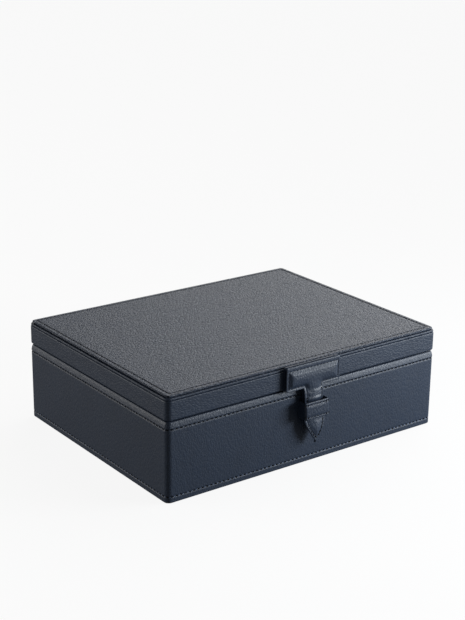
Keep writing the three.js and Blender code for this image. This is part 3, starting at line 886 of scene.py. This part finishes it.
def edge_distance(x, z, wide_top):
    """How far each point is inside the outline. With wide_top the bar's top border is broader."""
    start = OUTLINE
    end = np.roll(OUTLINE, -1, axis=0)
    spot = np.stack([x, z], 1)[:, None, :]
    line = (end - start)[None]
    length = np.maximum((line**2).sum(2), 1e-12)
    share = np.clip(((spot - start[None]) * line).sum(2) / length, 0, 1)
    gap = np.linalg.norm(spot - (start[None] + share[..., None] * line), axis=2).min(1)
    if wide_top:
        gap = np.minimum(gap, np.maximum(BAR_TOP - z - BAR_TOP_BORDER, 0))
    return gap


def crossing_folds(x, z):
    """Folds across the tongue where it bends above and below the keeper."""
    made = np.zeros_like(x)
    for height, slope, bow, width, depth in (
        (61.2, 0.05, 0.010, 0.55, 0.30),
        (59.4, -0.10, 0.012, 0.50, 0.38),
        (57.9, 0.06, 0.016, 0.45, 0.34),
        (56.5, -0.04, 0.010, 0.50, 0.36),
        (36.4, 0.08, -0.010, 0.6, 0.22),
        (34.2, -0.05, -0.012, 0.5, 0.16),
    ):
        line = height + slope * x + bow * x * x
        fade = 0.55 + 0.45 * np.sin(x * 0.7 + height)
        made -= depth * fade * bell(z, line, width)
        made += 0.6 * depth * fade * bell(z, line + 1.1, 0.6)
    return made


def tab_height(x, z):
    """The face layer's height over its flat border, in millimetres."""
    outer = edge_distance(x, z, False)
    sewn = edge_distance(x, z, True)
    rolled = np.clip(outer / 0.9, 0, 1)
    height = -0.55 * (1 - np.sqrt(np.clip(1 - (1 - rolled) ** 2, 0, 1)))
    height -= 0.3 * bell(sewn, TAB_SEAM_INSET, 0.5) * (outer > 0.9)
    stem = smoothstep(-z, -(BAR_BOTTOM + 1.5), -(BAR_BOTTOM - 1.5))
    height += (1.3 - 0.75 * stem) * smoothstep(sewn, 2.2, 5.4)
    height += 0.5 * smoothstep(sewn, 3.6, 9.0)
    folds = 0.6 * crossing_folds(x, z) * smoothstep(outer, 0.4, 2.2)
    mouth = 0.6 * bell(z, 54.2, 1.5) * smoothstep(outer, 0.5, 3.2)
    return height + stem * (folds + mouth)


def standoff(z):
    """The backing's distance off the case's front along the tab."""
    z = np.asarray(z, float)
    made = BAR_OFF + (TONGUE_OFF - BAR_OFF) * smoothstep(-z, -65.5, -58.5)
    return made + 2.7 * smoothstep(-z, -46.0, -27.0) + 0.35 * bell(z, 55.5, 3.5)


def add_panel(low_x, high_x, low_z, high_z, columns, rows):
    """An upright grid between two corners, added to the piece in edit mode."""
    bpy.ops.mesh.select_all(action="DESELECT")
    bpy.ops.mesh.primitive_grid_add(
        x_subdivisions=columns,
        y_subdivisions=rows,
        size=2,
        location=((low_x + high_x) / 2 * MM, 0, (low_z + high_z) / 2 * MM),
        rotation=(math.pi / 2, 0, 0),
    )
    bpy.ops.transform.resize(value=((high_x - low_x) / 2 * MM, 1, (high_z - low_z) / 2 * MM))


def tab_sheet(name):
    """The tab's outline as one flat sheet of quads at Y 0, facing the front."""
    piece = open_piece(name)
    add_panel(-BAR_HALF, -STEM_HALF, BAR_BOTTOM, BAR_TOP, WING_COLUMNS, BAR_ROWS)
    add_panel(STEM_HALF, BAR_HALF, BAR_BOTTOM, BAR_TOP, WING_COLUMNS, BAR_ROWS)
    add_panel(-STEM_HALF, STEM_HALF, BAR_BOTTOM, BAR_TOP, STEM_COLUMNS, BAR_ROWS)
    add_panel(-STEM_HALF, STEM_HALF, TIP, BAR_BOTTOM, STEM_COLUMNS, STEM_ROWS)
    bpy.ops.mesh.select_all(action="SELECT")
    bpy.ops.mesh.remove_doubles(threshold=1e-6)
    deselect()
    points = points_of(piece) / MM
    x, z = points[:, 0].copy(), points[:, 2].copy()
    stem = z < BAR_BOTTOM - 1e-4
    points[stem, 0] = x[stem] / STEM_HALF * stem_half(z[stem]) + stem_shift(z[stem])
    round_off = BAR_ROUND
    across = np.clip(np.abs(x) - (BAR_HALF - round_off), 0, None) / round_off
    middle = (BAR_BOTTOM + BAR_TOP) / 2
    up = np.clip(np.abs(z - middle) - (BAR_TOP - middle - round_off), 0, None) / round_off
    corner = (across > 0) & (up > 0) & ~stem
    reach = np.maximum(across, up) / np.maximum(np.hypot(across, up), 1e-9)
    points[corner, 0] = (np.sign(x) * (BAR_HALF - round_off + across * reach * round_off))[corner]
    side = np.sign(z - middle)
    height = middle + side * (BAR_TOP - middle - round_off + up * reach * round_off)
    points[corner, 2] = height[corner]
    return piece, points


def make_tab():
    front = wrap_low.y / MM
    face, points = tab_sheet("tab_face")
    lift = standoff(points[:, 2]) + TAB_STEP + TAB_FACE + tab_height(points[:, 0], points[:, 2])
    points[:, 1] = front - lift
    move_points(face, points * MM)
    finish_modifier(face, "SOLIDIFY", thickness=TAB_FACE * MM, offset=-1)
    backing, points = tab_sheet("tab_backing")
    pared = smoothstep(-points[:, 2], -37.0, -TIP - 3)
    middle = stem_shift(points[:, 2])
    points[:, 0] = middle + (points[:, 0] - middle) * (1 - 0.2 * pared)
    points[:, 2] += 1.3 * pared
    points[:, 1] = front - standoff(points[:, 2]) - TAB_BACKING
    move_points(backing, points * MM)
    finish_modifier(backing, "SOLIDIFY", thickness=TAB_BACKING * MM, offset=-1)
    for piece, replaced in (
        (face, ["tab_bar_front", "tab_bar_filler", "tongue_front", "tongue_filler"]),
        (backing, ["tab_bar_back", "tongue_back"]),
    ):
        smooth(piece, 40, weighted=False)
        dress(piece, TAB_LEATHER)
        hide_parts(*replaced)
        bend_with_tongue(piece)


def bend_with_tongue(piece):
    """Bakes the piece's placement into its mesh; it does not bend the piece."""
    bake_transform(piece)


def sewn_line():
    """The tab's stitch line, in X and Z, from the left of the stem's top round the tip and the bar."""
    inside = TAB_SEAM_INSET
    top = BAR_TOP - inside - BAR_TOP_BORDER
    stem_heights = np.linspace(BAR_BOTTOM + inside, TIP + 3.8, 50)
    right = [(stem_half(z) - inside + stem_shift(z), z) for z in stem_heights]
    left = [(-stem_half(z) + inside + stem_shift(z), z) for z in stem_heights[::-1]]
    made = [
        (-BAR_HALF + inside, BAR_BOTTOM + inside),
        (-BAR_HALF + inside, top),
        (BAR_HALF - inside, top),
        (BAR_HALF - inside, BAR_BOTTOM + inside),
    ]
    return np.array(made + right + left, float)


def evenly_along(line, pitch):
    """Places a pitch apart along a closed line of points, each with its direction."""
    steps = np.roll(line, -1, axis=0) - line
    lengths = np.linalg.norm(steps, axis=1)
    ends = np.cumsum(lengths)
    count = round(ends[-1] / pitch)
    made = []
    for i in range(count):
        way = (i + 0.5) * ends[-1] / count
        leg = int(np.searchsorted(ends, way))
        part = (way - (ends[leg] - lengths[leg])) / lengths[leg]
        made.append((line[leg] + steps[leg] * part, steps[leg] / lengths[leg]))
    return made


def surface_place(x, z):
    """The place of a point on the tab's face and the direction that it faces."""
    front = wrap_low.y / MM
    reach = 0.4
    xs = np.array([x, x + reach, x - reach, x, x])
    zs = np.array([z, z, z, z + reach, z - reach])
    off = standoff(zs) + TAB_STEP + TAB_FACE + tab_height(xs, zs)
    slope_x = (off[1] - off[2]) / (2 * reach)
    slope_z = (off[3] - off[4]) / (2 * reach)
    return (x, front - off[0], z), Vector((-slope_x, -1, -slope_z)).normalized()


def make_tab_seam():
    stitch = make_stitch("stitch", TAB_PITCH - HOLE_GAP, TAB_STITCH_THICK, THREAD, TAB_HOLE)
    places = []
    for (x, z), (run, rise) in evenly_along(sewn_line(), TAB_PITCH):
        place, out = surface_place(x, z)
        along = Vector((run, 0, rise))
        along -= out * along.dot(out)
        places.append((place, along, out))
    seam = sew("tab_seam", stitch, places)
    bend_with_tongue(seam)
    return seam


# ---- Keeper ----
KEEPER_HALF = keeper_high.x / MM - 0.3
KEEPER_OFF = (wrap_low.y - keeper_low.y) / MM
KEEPER_TOP = keeper_high.z / MM
KEEPER_BOTTOM = keeper_low.z / MM
KEEPER_BEND = 1.7
KEEPER_THICK = 1.6
KEEPER_SEAM_INSET = 1.95
KEEPER_STITCHES = 8  # in each of its two seams
KEEPER_STITCH_PITCH = 2.9
KEEPER_LEG = KEEPER_OFF - KEEPER_BEND
KEEPER_FLAT = 2 * (KEEPER_HALF - KEEPER_BEND)
KEEPER_ARC = math.pi / 2 * KEEPER_BEND
KEEPER_LENGTH = 2 * KEEPER_LEG + 2 * KEEPER_ARC + KEEPER_FLAT


def keeper_place(way, lift):
    """The point and outward direction at a way along the strap, from its left foot, in X and Y."""
    front = wrap_low.y / MM
    out = np.zeros((len(way), 2))
    spot = np.zeros((len(way), 2))
    first = KEEPER_LEG
    second = first + KEEPER_ARC
    third = second + KEEPER_FLAT
    fourth = third + KEEPER_ARC
    for i, s in enumerate(way):
        if s < first:
            spot[i] = (-KEEPER_HALF, front - s)
            out[i] = (-1, 0)
        elif s < second:
            angle = (s - first) / KEEPER_BEND
            out[i] = (-math.cos(angle), -math.sin(angle))
            centre = np.array([-KEEPER_HALF + KEEPER_BEND, front - KEEPER_LEG])
            spot[i] = centre + out[i] * KEEPER_BEND
        elif s < third:
            spot[i] = (-KEEPER_HALF + KEEPER_BEND + s - second, front - KEEPER_OFF)
            out[i] = (0, -1)
        elif s < fourth:
            angle = (s - third) / KEEPER_BEND
            out[i] = (math.sin(angle), -math.cos(angle))
            centre = np.array([KEEPER_HALF - KEEPER_BEND, front - KEEPER_LEG])
            spot[i] = centre + out[i] * KEEPER_BEND
        else:
            spot[i] = (KEEPER_HALF, front - KEEPER_LEG + (s - fourth))
            out[i] = (1, 0)
    return spot + out * lift[:, None], out


def keeper_lift(way, z):
    """How far the strap's face stands over its plain shape."""
    middle = KEEPER_LENGTH / 2
    edge = np.minimum(KEEPER_TOP - z, z - KEEPER_BOTTOM)
    rolled = np.clip(edge / 0.8, 0, 1)
    made = -0.5 * (1 - np.sqrt(np.clip(1 - (1 - rolled) ** 2, 0, 1)))
    made -= 0.25 * bell(edge, KEEPER_SEAM_INSET, 0.45)
    across = (way - middle) / (KEEPER_FLAT / 2)
    made += 0.35 * smoothstep(edge, 2.2, 4.5) * np.clip(1 - across**2 * 0.4, 0, 1)
    for along, height, slope, depth in (
        (-6.0, 46.5, 0.55, 0.16),
        (-2.0, 45.0, 0.7, 0.12),
        (3.5, 47.5, 0.5, 0.15),
        (7.0, 45.5, 0.65, 0.12),
    ):
        line = height + slope * (way - middle - along)
        near = bell(way - middle, along, 3.2)
        made -= depth * near * bell(z, line, 0.5)
        made += 0.7 * depth * near * bell(z, line + 1.0, 0.6)
    return made


def keeper_slant(z):
    """The strap's lower edge sits a little further right than its upper one."""
    return 1.0 * (KEEPER_TOP - z) / (KEEPER_TOP - KEEPER_BOTTOM) - 0.65


def make_keeper():
    piece = open_piece("keeper")
    add_panel(0, KEEPER_LENGTH, KEEPER_BOTTOM, KEEPER_TOP, 90, 30)
    deselect()
    points = points_of(piece) / MM
    way = points[:, 0].copy()
    z = points[:, 2].copy()
    spot, _ = keeper_place(way, keeper_lift(way, z))
    points[:, 0] = spot[:, 0] + keeper_slant(z) * smoothstep(-spot[:, 1], HALF_Y + 1, HALF_Y + 6)
    points[:, 1] = spot[:, 1]
    move_points(piece, points * MM)
    finish_modifier(piece, "SOLIDIFY", thickness=KEEPER_THICK * MM, offset=-1)
    smooth(piece, 40, weighted=False)
    return ready(piece, "base", TAB_LEATHER, ["tab_keeper"])


def make_keeper_seam():
    stitch = make_stitch("stitch", TAB_PITCH - HOLE_GAP, TAB_STITCH_THICK, THREAD, TAB_HOLE)
    places = []
    for z in (KEEPER_TOP - KEEPER_SEAM_INSET, KEEPER_BOTTOM + KEEPER_SEAM_INSET):
        for i in range(KEEPER_STITCHES):
            off_middle = (i - (KEEPER_STITCHES - 1) / 2) * KEEPER_STITCH_PITCH
            way = np.array([KEEPER_LENGTH / 2 + off_middle])
            spot, out = keeper_place(way, keeper_lift(way, np.array([z])))
            place = (spot[0, 0] + keeper_slant(z), spot[0, 1], z)
            normal = Vector((out[0, 0], out[0, 1], 0))
            along = Vector((0, 0, 1)).cross(normal)
            places.append((place, along, normal))
    return ready(sew("keeper_seam", stitch, places), "base")


# ---- Linings, hinge screws, tray and the inside of the lid ----
def plan_of(*nodes):
    """Half width, half depth, bottom and top of nodes that stand round the middle, in millimetres."""
    boxes = [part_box(node) for node in nodes]
    half_x = max(high.x for low, high in boxes) / MM
    half_y = max(high.y for low, high in boxes) / MM
    bottom = min(low.z for low, high in boxes) / MM
    top = max(high.z for low, high in boxes) / MM
    return half_x, half_y, bottom, top


def moved_to(piece, x, y):
    """Moves a piece made round the middle to its own place, in millimetres."""
    move_points(piece, points_of(piece) + np.array((x * MM, y * MM, 0)))
    return piece


def rolled_wall(name, half_x, half_y, thick, bottom, top, corner):
    """A closed wall round a rectangle with its covering rolled over the top edge."""
    roll = thick / 2
    corners = [
        (0, bottom, 0, 0),
        (0, top, roll * 0.92, 6),
        (thick, top, roll * 0.92, 6),
        (thick, bottom, 0, 0),
    ]
    profile = profile_of(corners) + [(0, bottom)]
    rings = [
        (half_x - inset, half_y - inset, max(corner - inset, corner * 0.4), height)
        for inset, height in profile
    ]
    piece = loft(name, rings)
    face_outwards(piece, (0, -2 * half_y, (bottom + top) / 2))
    smooth(piece)
    return piece


def stepped_rings(half_x, half_y, steps):
    """Rings for loft from (inset, radius, height) steps of one plan."""
    return [(half_x - inset, half_y - inset, radius, height) for inset, radius, height in steps]


def soft_slab(name, half_x, half_y, bottom, top, crown, edge, corner=2.0):
    """A thin pad: upright sides, a rounded edge and a top that rises towards its middle."""
    shoulder = top - crown
    steps = [(0.5, corner, bottom), (0, corner, bottom + 0.5)]
    for step in range(6):
        angle = math.pi / 2 * step / 5
        inset = edge * (1 - math.cos(angle))
        steps.append((inset, corner, shoulder - edge * (1 - math.sin(angle))))
    reach = min(half_x, half_y) - edge - corner - 1
    for step in range(1, 9):
        share = step / 8
        rise = crown * (1 - (1 - share) ** 2.4)
        steps.append((edge + reach * share, corner, shoulder + rise))
    piece = loft(name, stepped_rings(half_x, half_y, steps), close_start=True, close_end=True)
    smooth(piece, 60)
    return piece


def wrapped_board(node, body, edge=1.1):
    """A board covered in suede, its edges rounded by the covering."""
    low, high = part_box(node)
    piece = open_piece(f"{node}_covered")
    bpy.ops.mesh.primitive_cube_add(size=1, location=(low + high) / 2, scale=high - low)
    bpy.ops.mesh.bevel(affect="EDGES", offset=edge * MM, segments=4)
    tidy_normals()
    smooth(piece)
    return lined(piece, body, node)


def make_base_lining():
    walls = ["liner_front", "liner_back", "liner_left", "liner_right"]
    half_x, half_y, bottom, top = plan_of(*walls)
    low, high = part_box("liner_front")
    wall = rolled_wall("base_wall_lining", half_x, half_y, (high.y - low.y) / MM, bottom, top, 1.5)
    lined(wall, "base", *walls)
    half_x, half_y, bottom, top = plan_of("floor_pad")
    pad = soft_slab("base_floor_cushion", half_x, half_y, bottom, top, 0.7, 1.2)
    lined(pad, "base", "floor_pad")
    wrapped_board("lower_divider_long", "base")
    wrapped_board("lower_divider_short", "base")
    half_x, half_y, bottom, top = plan_of("underside_felt")
    steps = [
        (0.5, 3.0, top),
        (0, 3.4, top - 0.4),
        (0, 3.4, bottom + 0.6),
        (0.25, 3.2, bottom + 0.2),
        (0.8, 2.8, bottom),
    ]
    rings = stepped_rings(half_x, half_y, steps)
    felt = loft("underside_felt_sheet", rings, close_start=True, close_end=True)
    face_outwards(felt, (0, 0, -500))
    smooth(felt, 50)
    ready(felt, "base", FELT, ["underside_felt"])


SCREW_PROFILE = 9.0  # length that the screw's profile is written for


def make_hinge_screws():
    """Countersunk screws with a turned head and a slot, each slot left at its own angle."""
    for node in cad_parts:
        if "_hinge_screw_" not in node:
            continue
        low, high = (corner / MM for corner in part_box(node))
        body = "lid" if node.startswith("lid") else "base"
        head_down = body == "lid"
        half = (high.x - low.x) / 2
        profile = [(0.55, 0.0), (0.7, 2.6), (1.0, 5.0), (1.0, 6.6)]
        profile += [(half - 0.05, 8.6), (half, 8.8), (half - 0.15, SCREW_PROFILE)]
        piece = open_piece(f"{node}_turned")
        bpy.ops.mesh.primitive_circle_add(vertices=32, radius=profile[0][0] * MM, fill_type="NGON")
        bpy.ops.mesh.select_all(action="SELECT")
        tall = high.z - low.z
        for (before, start), (after, end) in zip(profile, profile[1:]):
            bpy.ops.mesh.extrude_region_move(
                TRANSFORM_OT_translate={"value": (0, 0, (end - start) / SCREW_PROFILE * tall * MM)}
            )
            bpy.ops.transform.resize(value=(after / before, after / before, 1))
        bpy.ops.mesh.inset(thickness=0.25 * MM)
        bpy.ops.transform.translate(value=(0, 0, -0.08 * MM))
        tidy_normals()
        deselect()
        slot = open_piece("cutter")
        bpy.ops.mesh.primitive_cube_add(
            size=1, location=(0, 0, tall * MM), scale=(2.4 * half * MM, 0.55 * MM, 1.1 * MM)
        )
        deselect()
        turn = math.radians(25 + 47 * (int(low.x + 200) % 7))
        slot.data.transform(Matrix.Rotation(turn, 4, "Z"))
        cut_away(piece, slot)
        points = points_of(piece) / MM
        if head_down:
            points *= np.array((1, -1, -1))
            points[:, 2] += tall
        points += np.array(((low.x + high.x) / 2, (low.y + high.y) / 2, low.z))
        move_points(piece, points * MM)
        smooth(piece, 30)
        ready(piece, body, BRASS, [node])


def make_tray_shell():
    walls = ["tray_wall_front", "tray_wall_back", "tray_wall_left", "tray_wall_right"]
    half_x, half_y, bottom, top = plan_of(*walls)
    low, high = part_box("tray_wall_front")
    wall = rolled_wall("tray_walls_covered", half_x, half_y, (high.y - low.y) / MM, bottom, top, 2.2)
    lined(wall, "tray", *walls)
    half_x, half_y, bottom, top = plan_of("tray_floor")
    steps = [
        (0.9, 1.4, bottom),
        (0.25, 1.9, bottom + 0.25),
        (0, 2.2, bottom + 0.9),
        (0, 2.2, top - 0.1),
        (0.1, 2.1, top),
    ]
    rings = stepped_rings(half_x, half_y, steps)
    floor = loft("tray_floor_covered", rings, close_start=True, close_end=True)
    smooth(floor, 50)
    lined(floor, "tray", "tray_floor")
    for node in ("tray_divider_long", "tray_divider_left", "tray_divider_right"):
        wrapped_board(node, "tray", 1.2)


def make_tray_pads():
    """A soft pad in each open compartment, held between the walls and the dividers."""
    floor_top = plan_of("tray_floor")[3]
    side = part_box("tray_wall_right")[0].x / MM
    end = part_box("tray_wall_back")[0].y / MM
    middle_low, middle_high = (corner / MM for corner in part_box("tray_divider_long"))
    left_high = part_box("tray_divider_left")[1] / MM
    right_low, right_high = (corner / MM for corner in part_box("tray_divider_right"))
    for name, low_x, high_x, low_y, high_y in (
        ("tray_pad_back_left", -side, middle_low.x, left_high.y, end),
        ("tray_pad_front_right", middle_high.x, side, -end, right_low.y),
        ("tray_pad_back_right", middle_high.x, side, right_high.y, end),
    ):
        half_x = (high_x - low_x) / 2 - 0.5
        half_y = (high_y - low_y) / 2 - 0.5
        pad = soft_slab(name, half_x, half_y, floor_top + 0.1, floor_top + 3.2, 1.0, 1.4)
        moved_to(pad, (low_x + high_x) / 2, (low_y + high_y) / 2)
        lined(pad, "tray")


ROLL_VOXEL = 2.6  # finer than for a large cushion, because a roll is only 24 mm across
ROLL_FRAMES = 20  # how long the stuffing is let swell
ROLL_CAP = 1.6  # how far the covering may move
ROLL_PRESSURE = 4


def swell(piece, pressure):
    """Blows the covering up against its own stitching, as stuffing does."""
    before = points_of(piece)
    take(piece)
    cloth = piece.modifiers.new("Stuffing", "CLOTH")
    cloth.settings.use_pressure = True
    cloth.settings.uniform_pressure_force = pressure
    cloth.settings.effector_weights.gravity = 0
    cloth.settings.quality = 5
    cloth.point_cache.frame_start = 1
    cloth.point_cache.frame_end = ROLL_FRAMES
    scene = bpy.context.scene
    for moment in range(1, ROLL_FRAMES + 1):
        scene.frame_set(moment)
    bpy.ops.object.modifier_apply(modifier=cloth.name)
    scene.frame_set(1)
    moved = points_of(piece) - before
    far = np.linalg.norm(moved, axis=1, keepdims=True)
    held = np.minimum(1, ROLL_CAP * MM / np.maximum(far, 1e-9))
    move_points(piece, before + moved * held)


def make_ring_rolls():
    """One stuffed roll, copied into a row with a slit for rings between each two."""
    low, high = (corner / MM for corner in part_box("ring_roll_1"))
    size = high - low
    first = open_piece("ring_roll_cushion_1")
    slim = 0.8
    bpy.ops.mesh.primitive_cylinder_add(
        vertices=40, radius=1, depth=2, location=(0, 0, 0), rotation=(0, math.pi / 2, 0)
    )
    bpy.ops.mesh.select_all(action="SELECT")
    bpy.ops.transform.resize(
        value=((size.x / 2 - slim) * MM, (size.y / 2 - slim) * MM, (size.z * 0.62 - slim) * MM)
    )
    deselect()
    points = points_of(first)
    points[:, 2] = np.maximum(points[:, 2], -(size.z * 0.38 - slim) * MM)
    ends = np.abs(points[:, 0]) > (size.x / 2 - 2) * MM
    points[ends, 1:] *= 0.93
    move_points(first, points)
    finish_modifier(first, "REMESH", mode="VOXEL", voxel_size=ROLL_VOXEL * MM, use_smooth_shade=True)
    swell(first, ROLL_PRESSURE)
    finish_modifier(first, "SUBSURF", levels=1, render_levels=1)
    points = points_of(first)
    reach_low, reach_high = points.min(axis=0), points.max(axis=0)
    share = (points - reach_low) / (reach_high - reach_low)
    points = (np.array(low) + 0.1 + share * (np.array(size) - 0.2)) * MM
    move_points(first, points)
    count = sum(1 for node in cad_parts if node.startswith("ring_roll_"))
    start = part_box("ring_roll_1")[0].y
    rolls = [first]
    for number in range(2, count + 1):
        roll = first.copy()
        roll.data = first.data.copy()
        roll.name = f"ring_roll_cushion_{number}"
        bpy.context.scene.collection.objects.link(roll)
        points = points_of(roll)
        points[:, 1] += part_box(f"ring_roll_{number}")[0].y - start
        move_points(roll, points)
        rolls.append(roll)
    for number, roll in enumerate(rolls, 1):
        smooth(roll, 60, weighted=False)
        lined(roll, "tray", f"ring_roll_{number}")


def make_tray_pull(side):
    """A leather tongue inside the tray's end wall, with a rounded top that leans inwards."""
    node = f"tray_pull_{side}"
    low, high = (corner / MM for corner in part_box(node))
    width, tall = high.y - low.y, high.z - low.z
    piece = open_piece(f"{node}_leather")
    bpy.ops.mesh.primitive_grid_add(
        x_subdivisions=24,
        y_subdivisions=24,
        size=2,
        location=(0, 0, 0),
        rotation=(math.pi / 2, 0, math.pi / 2),
    )
    deselect()
    points = points_of(piece)
    inward = 1 if side == "left" else -1
    across, up = points[:, 1].copy(), (points[:, 2] + 1) / 2
    round_off = 6.0
    height = low.z + up * tall
    from_top = np.clip(round_off - (high.z - height), 0, round_off)
    half = width / 2 - (round_off - np.sqrt(np.maximum(round_off**2 - from_top**2, 0)))
    lean = smoothstep(height, high.z - 11, high.z) * 2.4
    outer = low.x if side == "left" else high.x
    points[:, 0] = outer + inward * (0.05 + lean)
    points[:, 1] = across * half
    points[:, 2] = height
    move_points(piece, points * MM)
    finish_modifier(piece, "WELD", merge_threshold=0.02 * MM)
    take(piece)
    if piece.data.polygons[0].normal.x * inward < 0:
        piece.data.flip_normals()
    finish_modifier(piece, "SOLIDIFY", thickness=(high.x - low.x - 0.1) * MM, offset=1)
    limit = math.radians(50)
    finish_modifier(
        piece, "BEVEL", width=0.3 * MM, segments=2, limit_method="ANGLE", angle_limit=limit
    )
    smooth(piece)
    ready(piece, "tray", PULL_LEATHER, [node])


def make_lid_inside():
    half_x, half_y, face, back = plan_of("lid_lining_pad")
    glass_x, glass_y, glass_face, glass_back = plan_of("lid_mirror")
    gap = 0.3
    window_x, window_y, window_round = glass_x + gap, glass_y + gap, 3.3
    rail_x, rail_y = half_x - window_x, half_y - window_y
    rings = [(half_x, half_y, 1.0, back - 0.1)]
    for step in range(13):
        angle = math.pi * step / 12
        share = (1 - math.cos(angle)) / 2
        depth = math.sin(angle) ** 0.45
        height = back - 0.8 - (back - 0.8 - face) * depth
        round_now = 1.0 + (window_round - 1.0) * share
        rings.append((half_x - rail_x * share, half_y - rail_y * share, round_now, height))
    rings.append((window_x, window_y, window_round, back - 0.1))
    rings.append(rings[0])
    pad = loft("lid_lining_cushion", rings)
    face_outwards(pad, (0, -half_y + rail_y / 2, -500))
    smooth(pad, 50)
    lined(pad, "lid", "lid_lining_pad")
    bevelled = 4.0
    steps = [
        (0, 3.0, glass_back),
        (0, 3.0, glass_face + 0.9),
        (0.15, 3.0, glass_face + 0.7),
        (bevelled, 1.5, glass_face),
    ]
    rings = stepped_rings(glass_x, glass_y, steps)
    glass = loft("lid_mirror_bevelled", rings, close_start=True, close_end=True)
    smooth(glass, 4, weighted=False)
    ready(glass, "lid", MIRROR, ["lid_mirror"])


# ---- Light, floor and camera ----
FLOOR_GLOW = 0.9  # how bright the floor looks to the camera
FLOOR_BOUNCE = 0.16  # how much light it gives the case
BACKDROP_GLOW = 0.95  # how bright the room looks to the camera


def make_floor():
    deselect()
    bpy.ops.mesh.primitive_plane_add(size=16, location=(0, 0, 0))
    floor = bpy.context.object
    floor.name = "floor"
    made, tree, shader, _ = new_material("pale_floor", 0.9, 0.0)
    shader.inputs["Base Color"].default_value = (0.06, 0.06, 0.06, 1)
    shader.inputs["Emission Color"].default_value = (1, 1, 1, 1)
    path = tree.nodes.new("ShaderNodeLightPath")
    seen = path.outputs["Is Camera Ray"]
    glow = math_node(tree, "MULTIPLY_ADD", seen, FLOOR_GLOW - FLOOR_BOUNCE, FLOOR_BOUNCE)
    tree.links.new(glow, shader.inputs["Emission Strength"])
    dress(floor, made)


def make_world():
    world = bpy.data.worlds.new("soft_room")
    bpy.context.scene.world = world
    world.use_nodes = True
    tree = world.node_tree
    back = tree.nodes["Background"]
    place = tree.nodes.new("ShaderNodeTexCoord").outputs["Generated"]
    toward = vector_node(tree, "DOT_PRODUCT", place, (0.85, 0.25, 0.35))
    level = map_range(tree, toward, 0.60, 0.98, 0.20, 4.4)
    seen = tree.nodes.new("ShaderNodeLightPath").outputs["Is Camera Ray"]
    change = math_node(tree, "SUBTRACT", BACKDROP_GLOW, level)
    tree.links.new(math_node(tree, "MULTIPLY_ADD", seen, change, level), back.inputs["Strength"])
    back.inputs["Color"].default_value = (1.0, 1.0, 1.0, 1)


def make_light(name, place, target, size, power, colour):
    light = bpy.data.lights.new(name, "AREA")
    light.shape = "RECTANGLE"
    light.size, light.size_y = size
    light.energy = power
    light.color = colour
    lamp = bpy.data.objects.new(name, light)
    bpy.context.scene.collection.objects.link(lamp)
    lamp.visible_camera = False
    lamp.location = place
    lamp.rotation_euler = (Vector(target) - Vector(place)).to_track_quat("-Z", "Y").to_euler()
    return lamp


def make_camera():
    camera = bpy.data.cameras.new("camera")
    camera.sensor_width = 36
    camera.sensor_fit = "AUTO"
    camera.lens = 80.74
    camera.clip_start = 0.01
    holder = bpy.data.objects.new("camera", camera)
    bpy.context.scene.collection.objects.link(holder)
    right = Vector((0.8051551865, -0.5929495093, 0.0116621220))
    up = Vector((0.1820065550, 0.2657630490, 0.9467014395))
    back = Vector((-0.5644455151, -0.7601189915, 0.3219011948))
    turn = Matrix((right, up, back)).transposed().to_4x4()
    turn.translation = Vector((-0.628817, -0.847407, 0.453242))
    holder.matrix_world = turn
    bpy.context.scene.camera = holder


# ---- The case ----
def finish_of(node):
    """The finish a carried-over node has, from what its name says it is."""
    if "hinge" in node:
        return BRASS
    if node.endswith("_board") or node.endswith("_card"):
        return FIBREBOARD
    if "felt" in node or "filler" in node:
        return FELT
    if "mirror" in node:
        return MIRROR
    for word in ("leather", "tab_", "tongue", "pull", "keeper"):
        if word in node:
            return PULL_LEATHER
    return SUEDE


make_camera()
make_floor()
make_world()
make_light("key", (0.50, -0.48, 0.19), (0, -0.1, 0.05), (0.34, 0.2), 8.6, (0.90, 0.96, 1.0))
make_light("low_fill", (-1.7, 1.35, 0.42), (-0.13, 0.0, 0.04), (1.2, 0.7), 34.0, (1.0, 0.98, 0.95))
for node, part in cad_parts.items():
    dress(part, finish_of(node))

make_base_wrap()
make_lid_band()
make_top_panel()
case_seam("base_top_seam", "base", BASE_SIDE, 0.3, BASE_SEAM_TOP, THREAD)
# bottom seam in the lighter copy of the thread, a painted highlight
case_seam("base_bottom_seam", "base", BASE_SIDE, 0.28, BASE_SEAM_BOTTOM, HIGHLIT_THREAD)
case_seam("top_panel_seam", "lid", PANEL_SEAM_INSET, 0, PANEL_TOP - 0.25, THREAD, on_top=True)
make_tab()
make_tab_seam()
make_keeper()
make_keeper_seam()
make_base_lining()
make_hinge_screws()
make_tray_shell()
make_tray_pads()
make_ring_rolls()
make_tray_pull("left")
make_tray_pull("right")
make_lid_inside()

bpy.context.scene.view_settings.view_transform = "Standard"
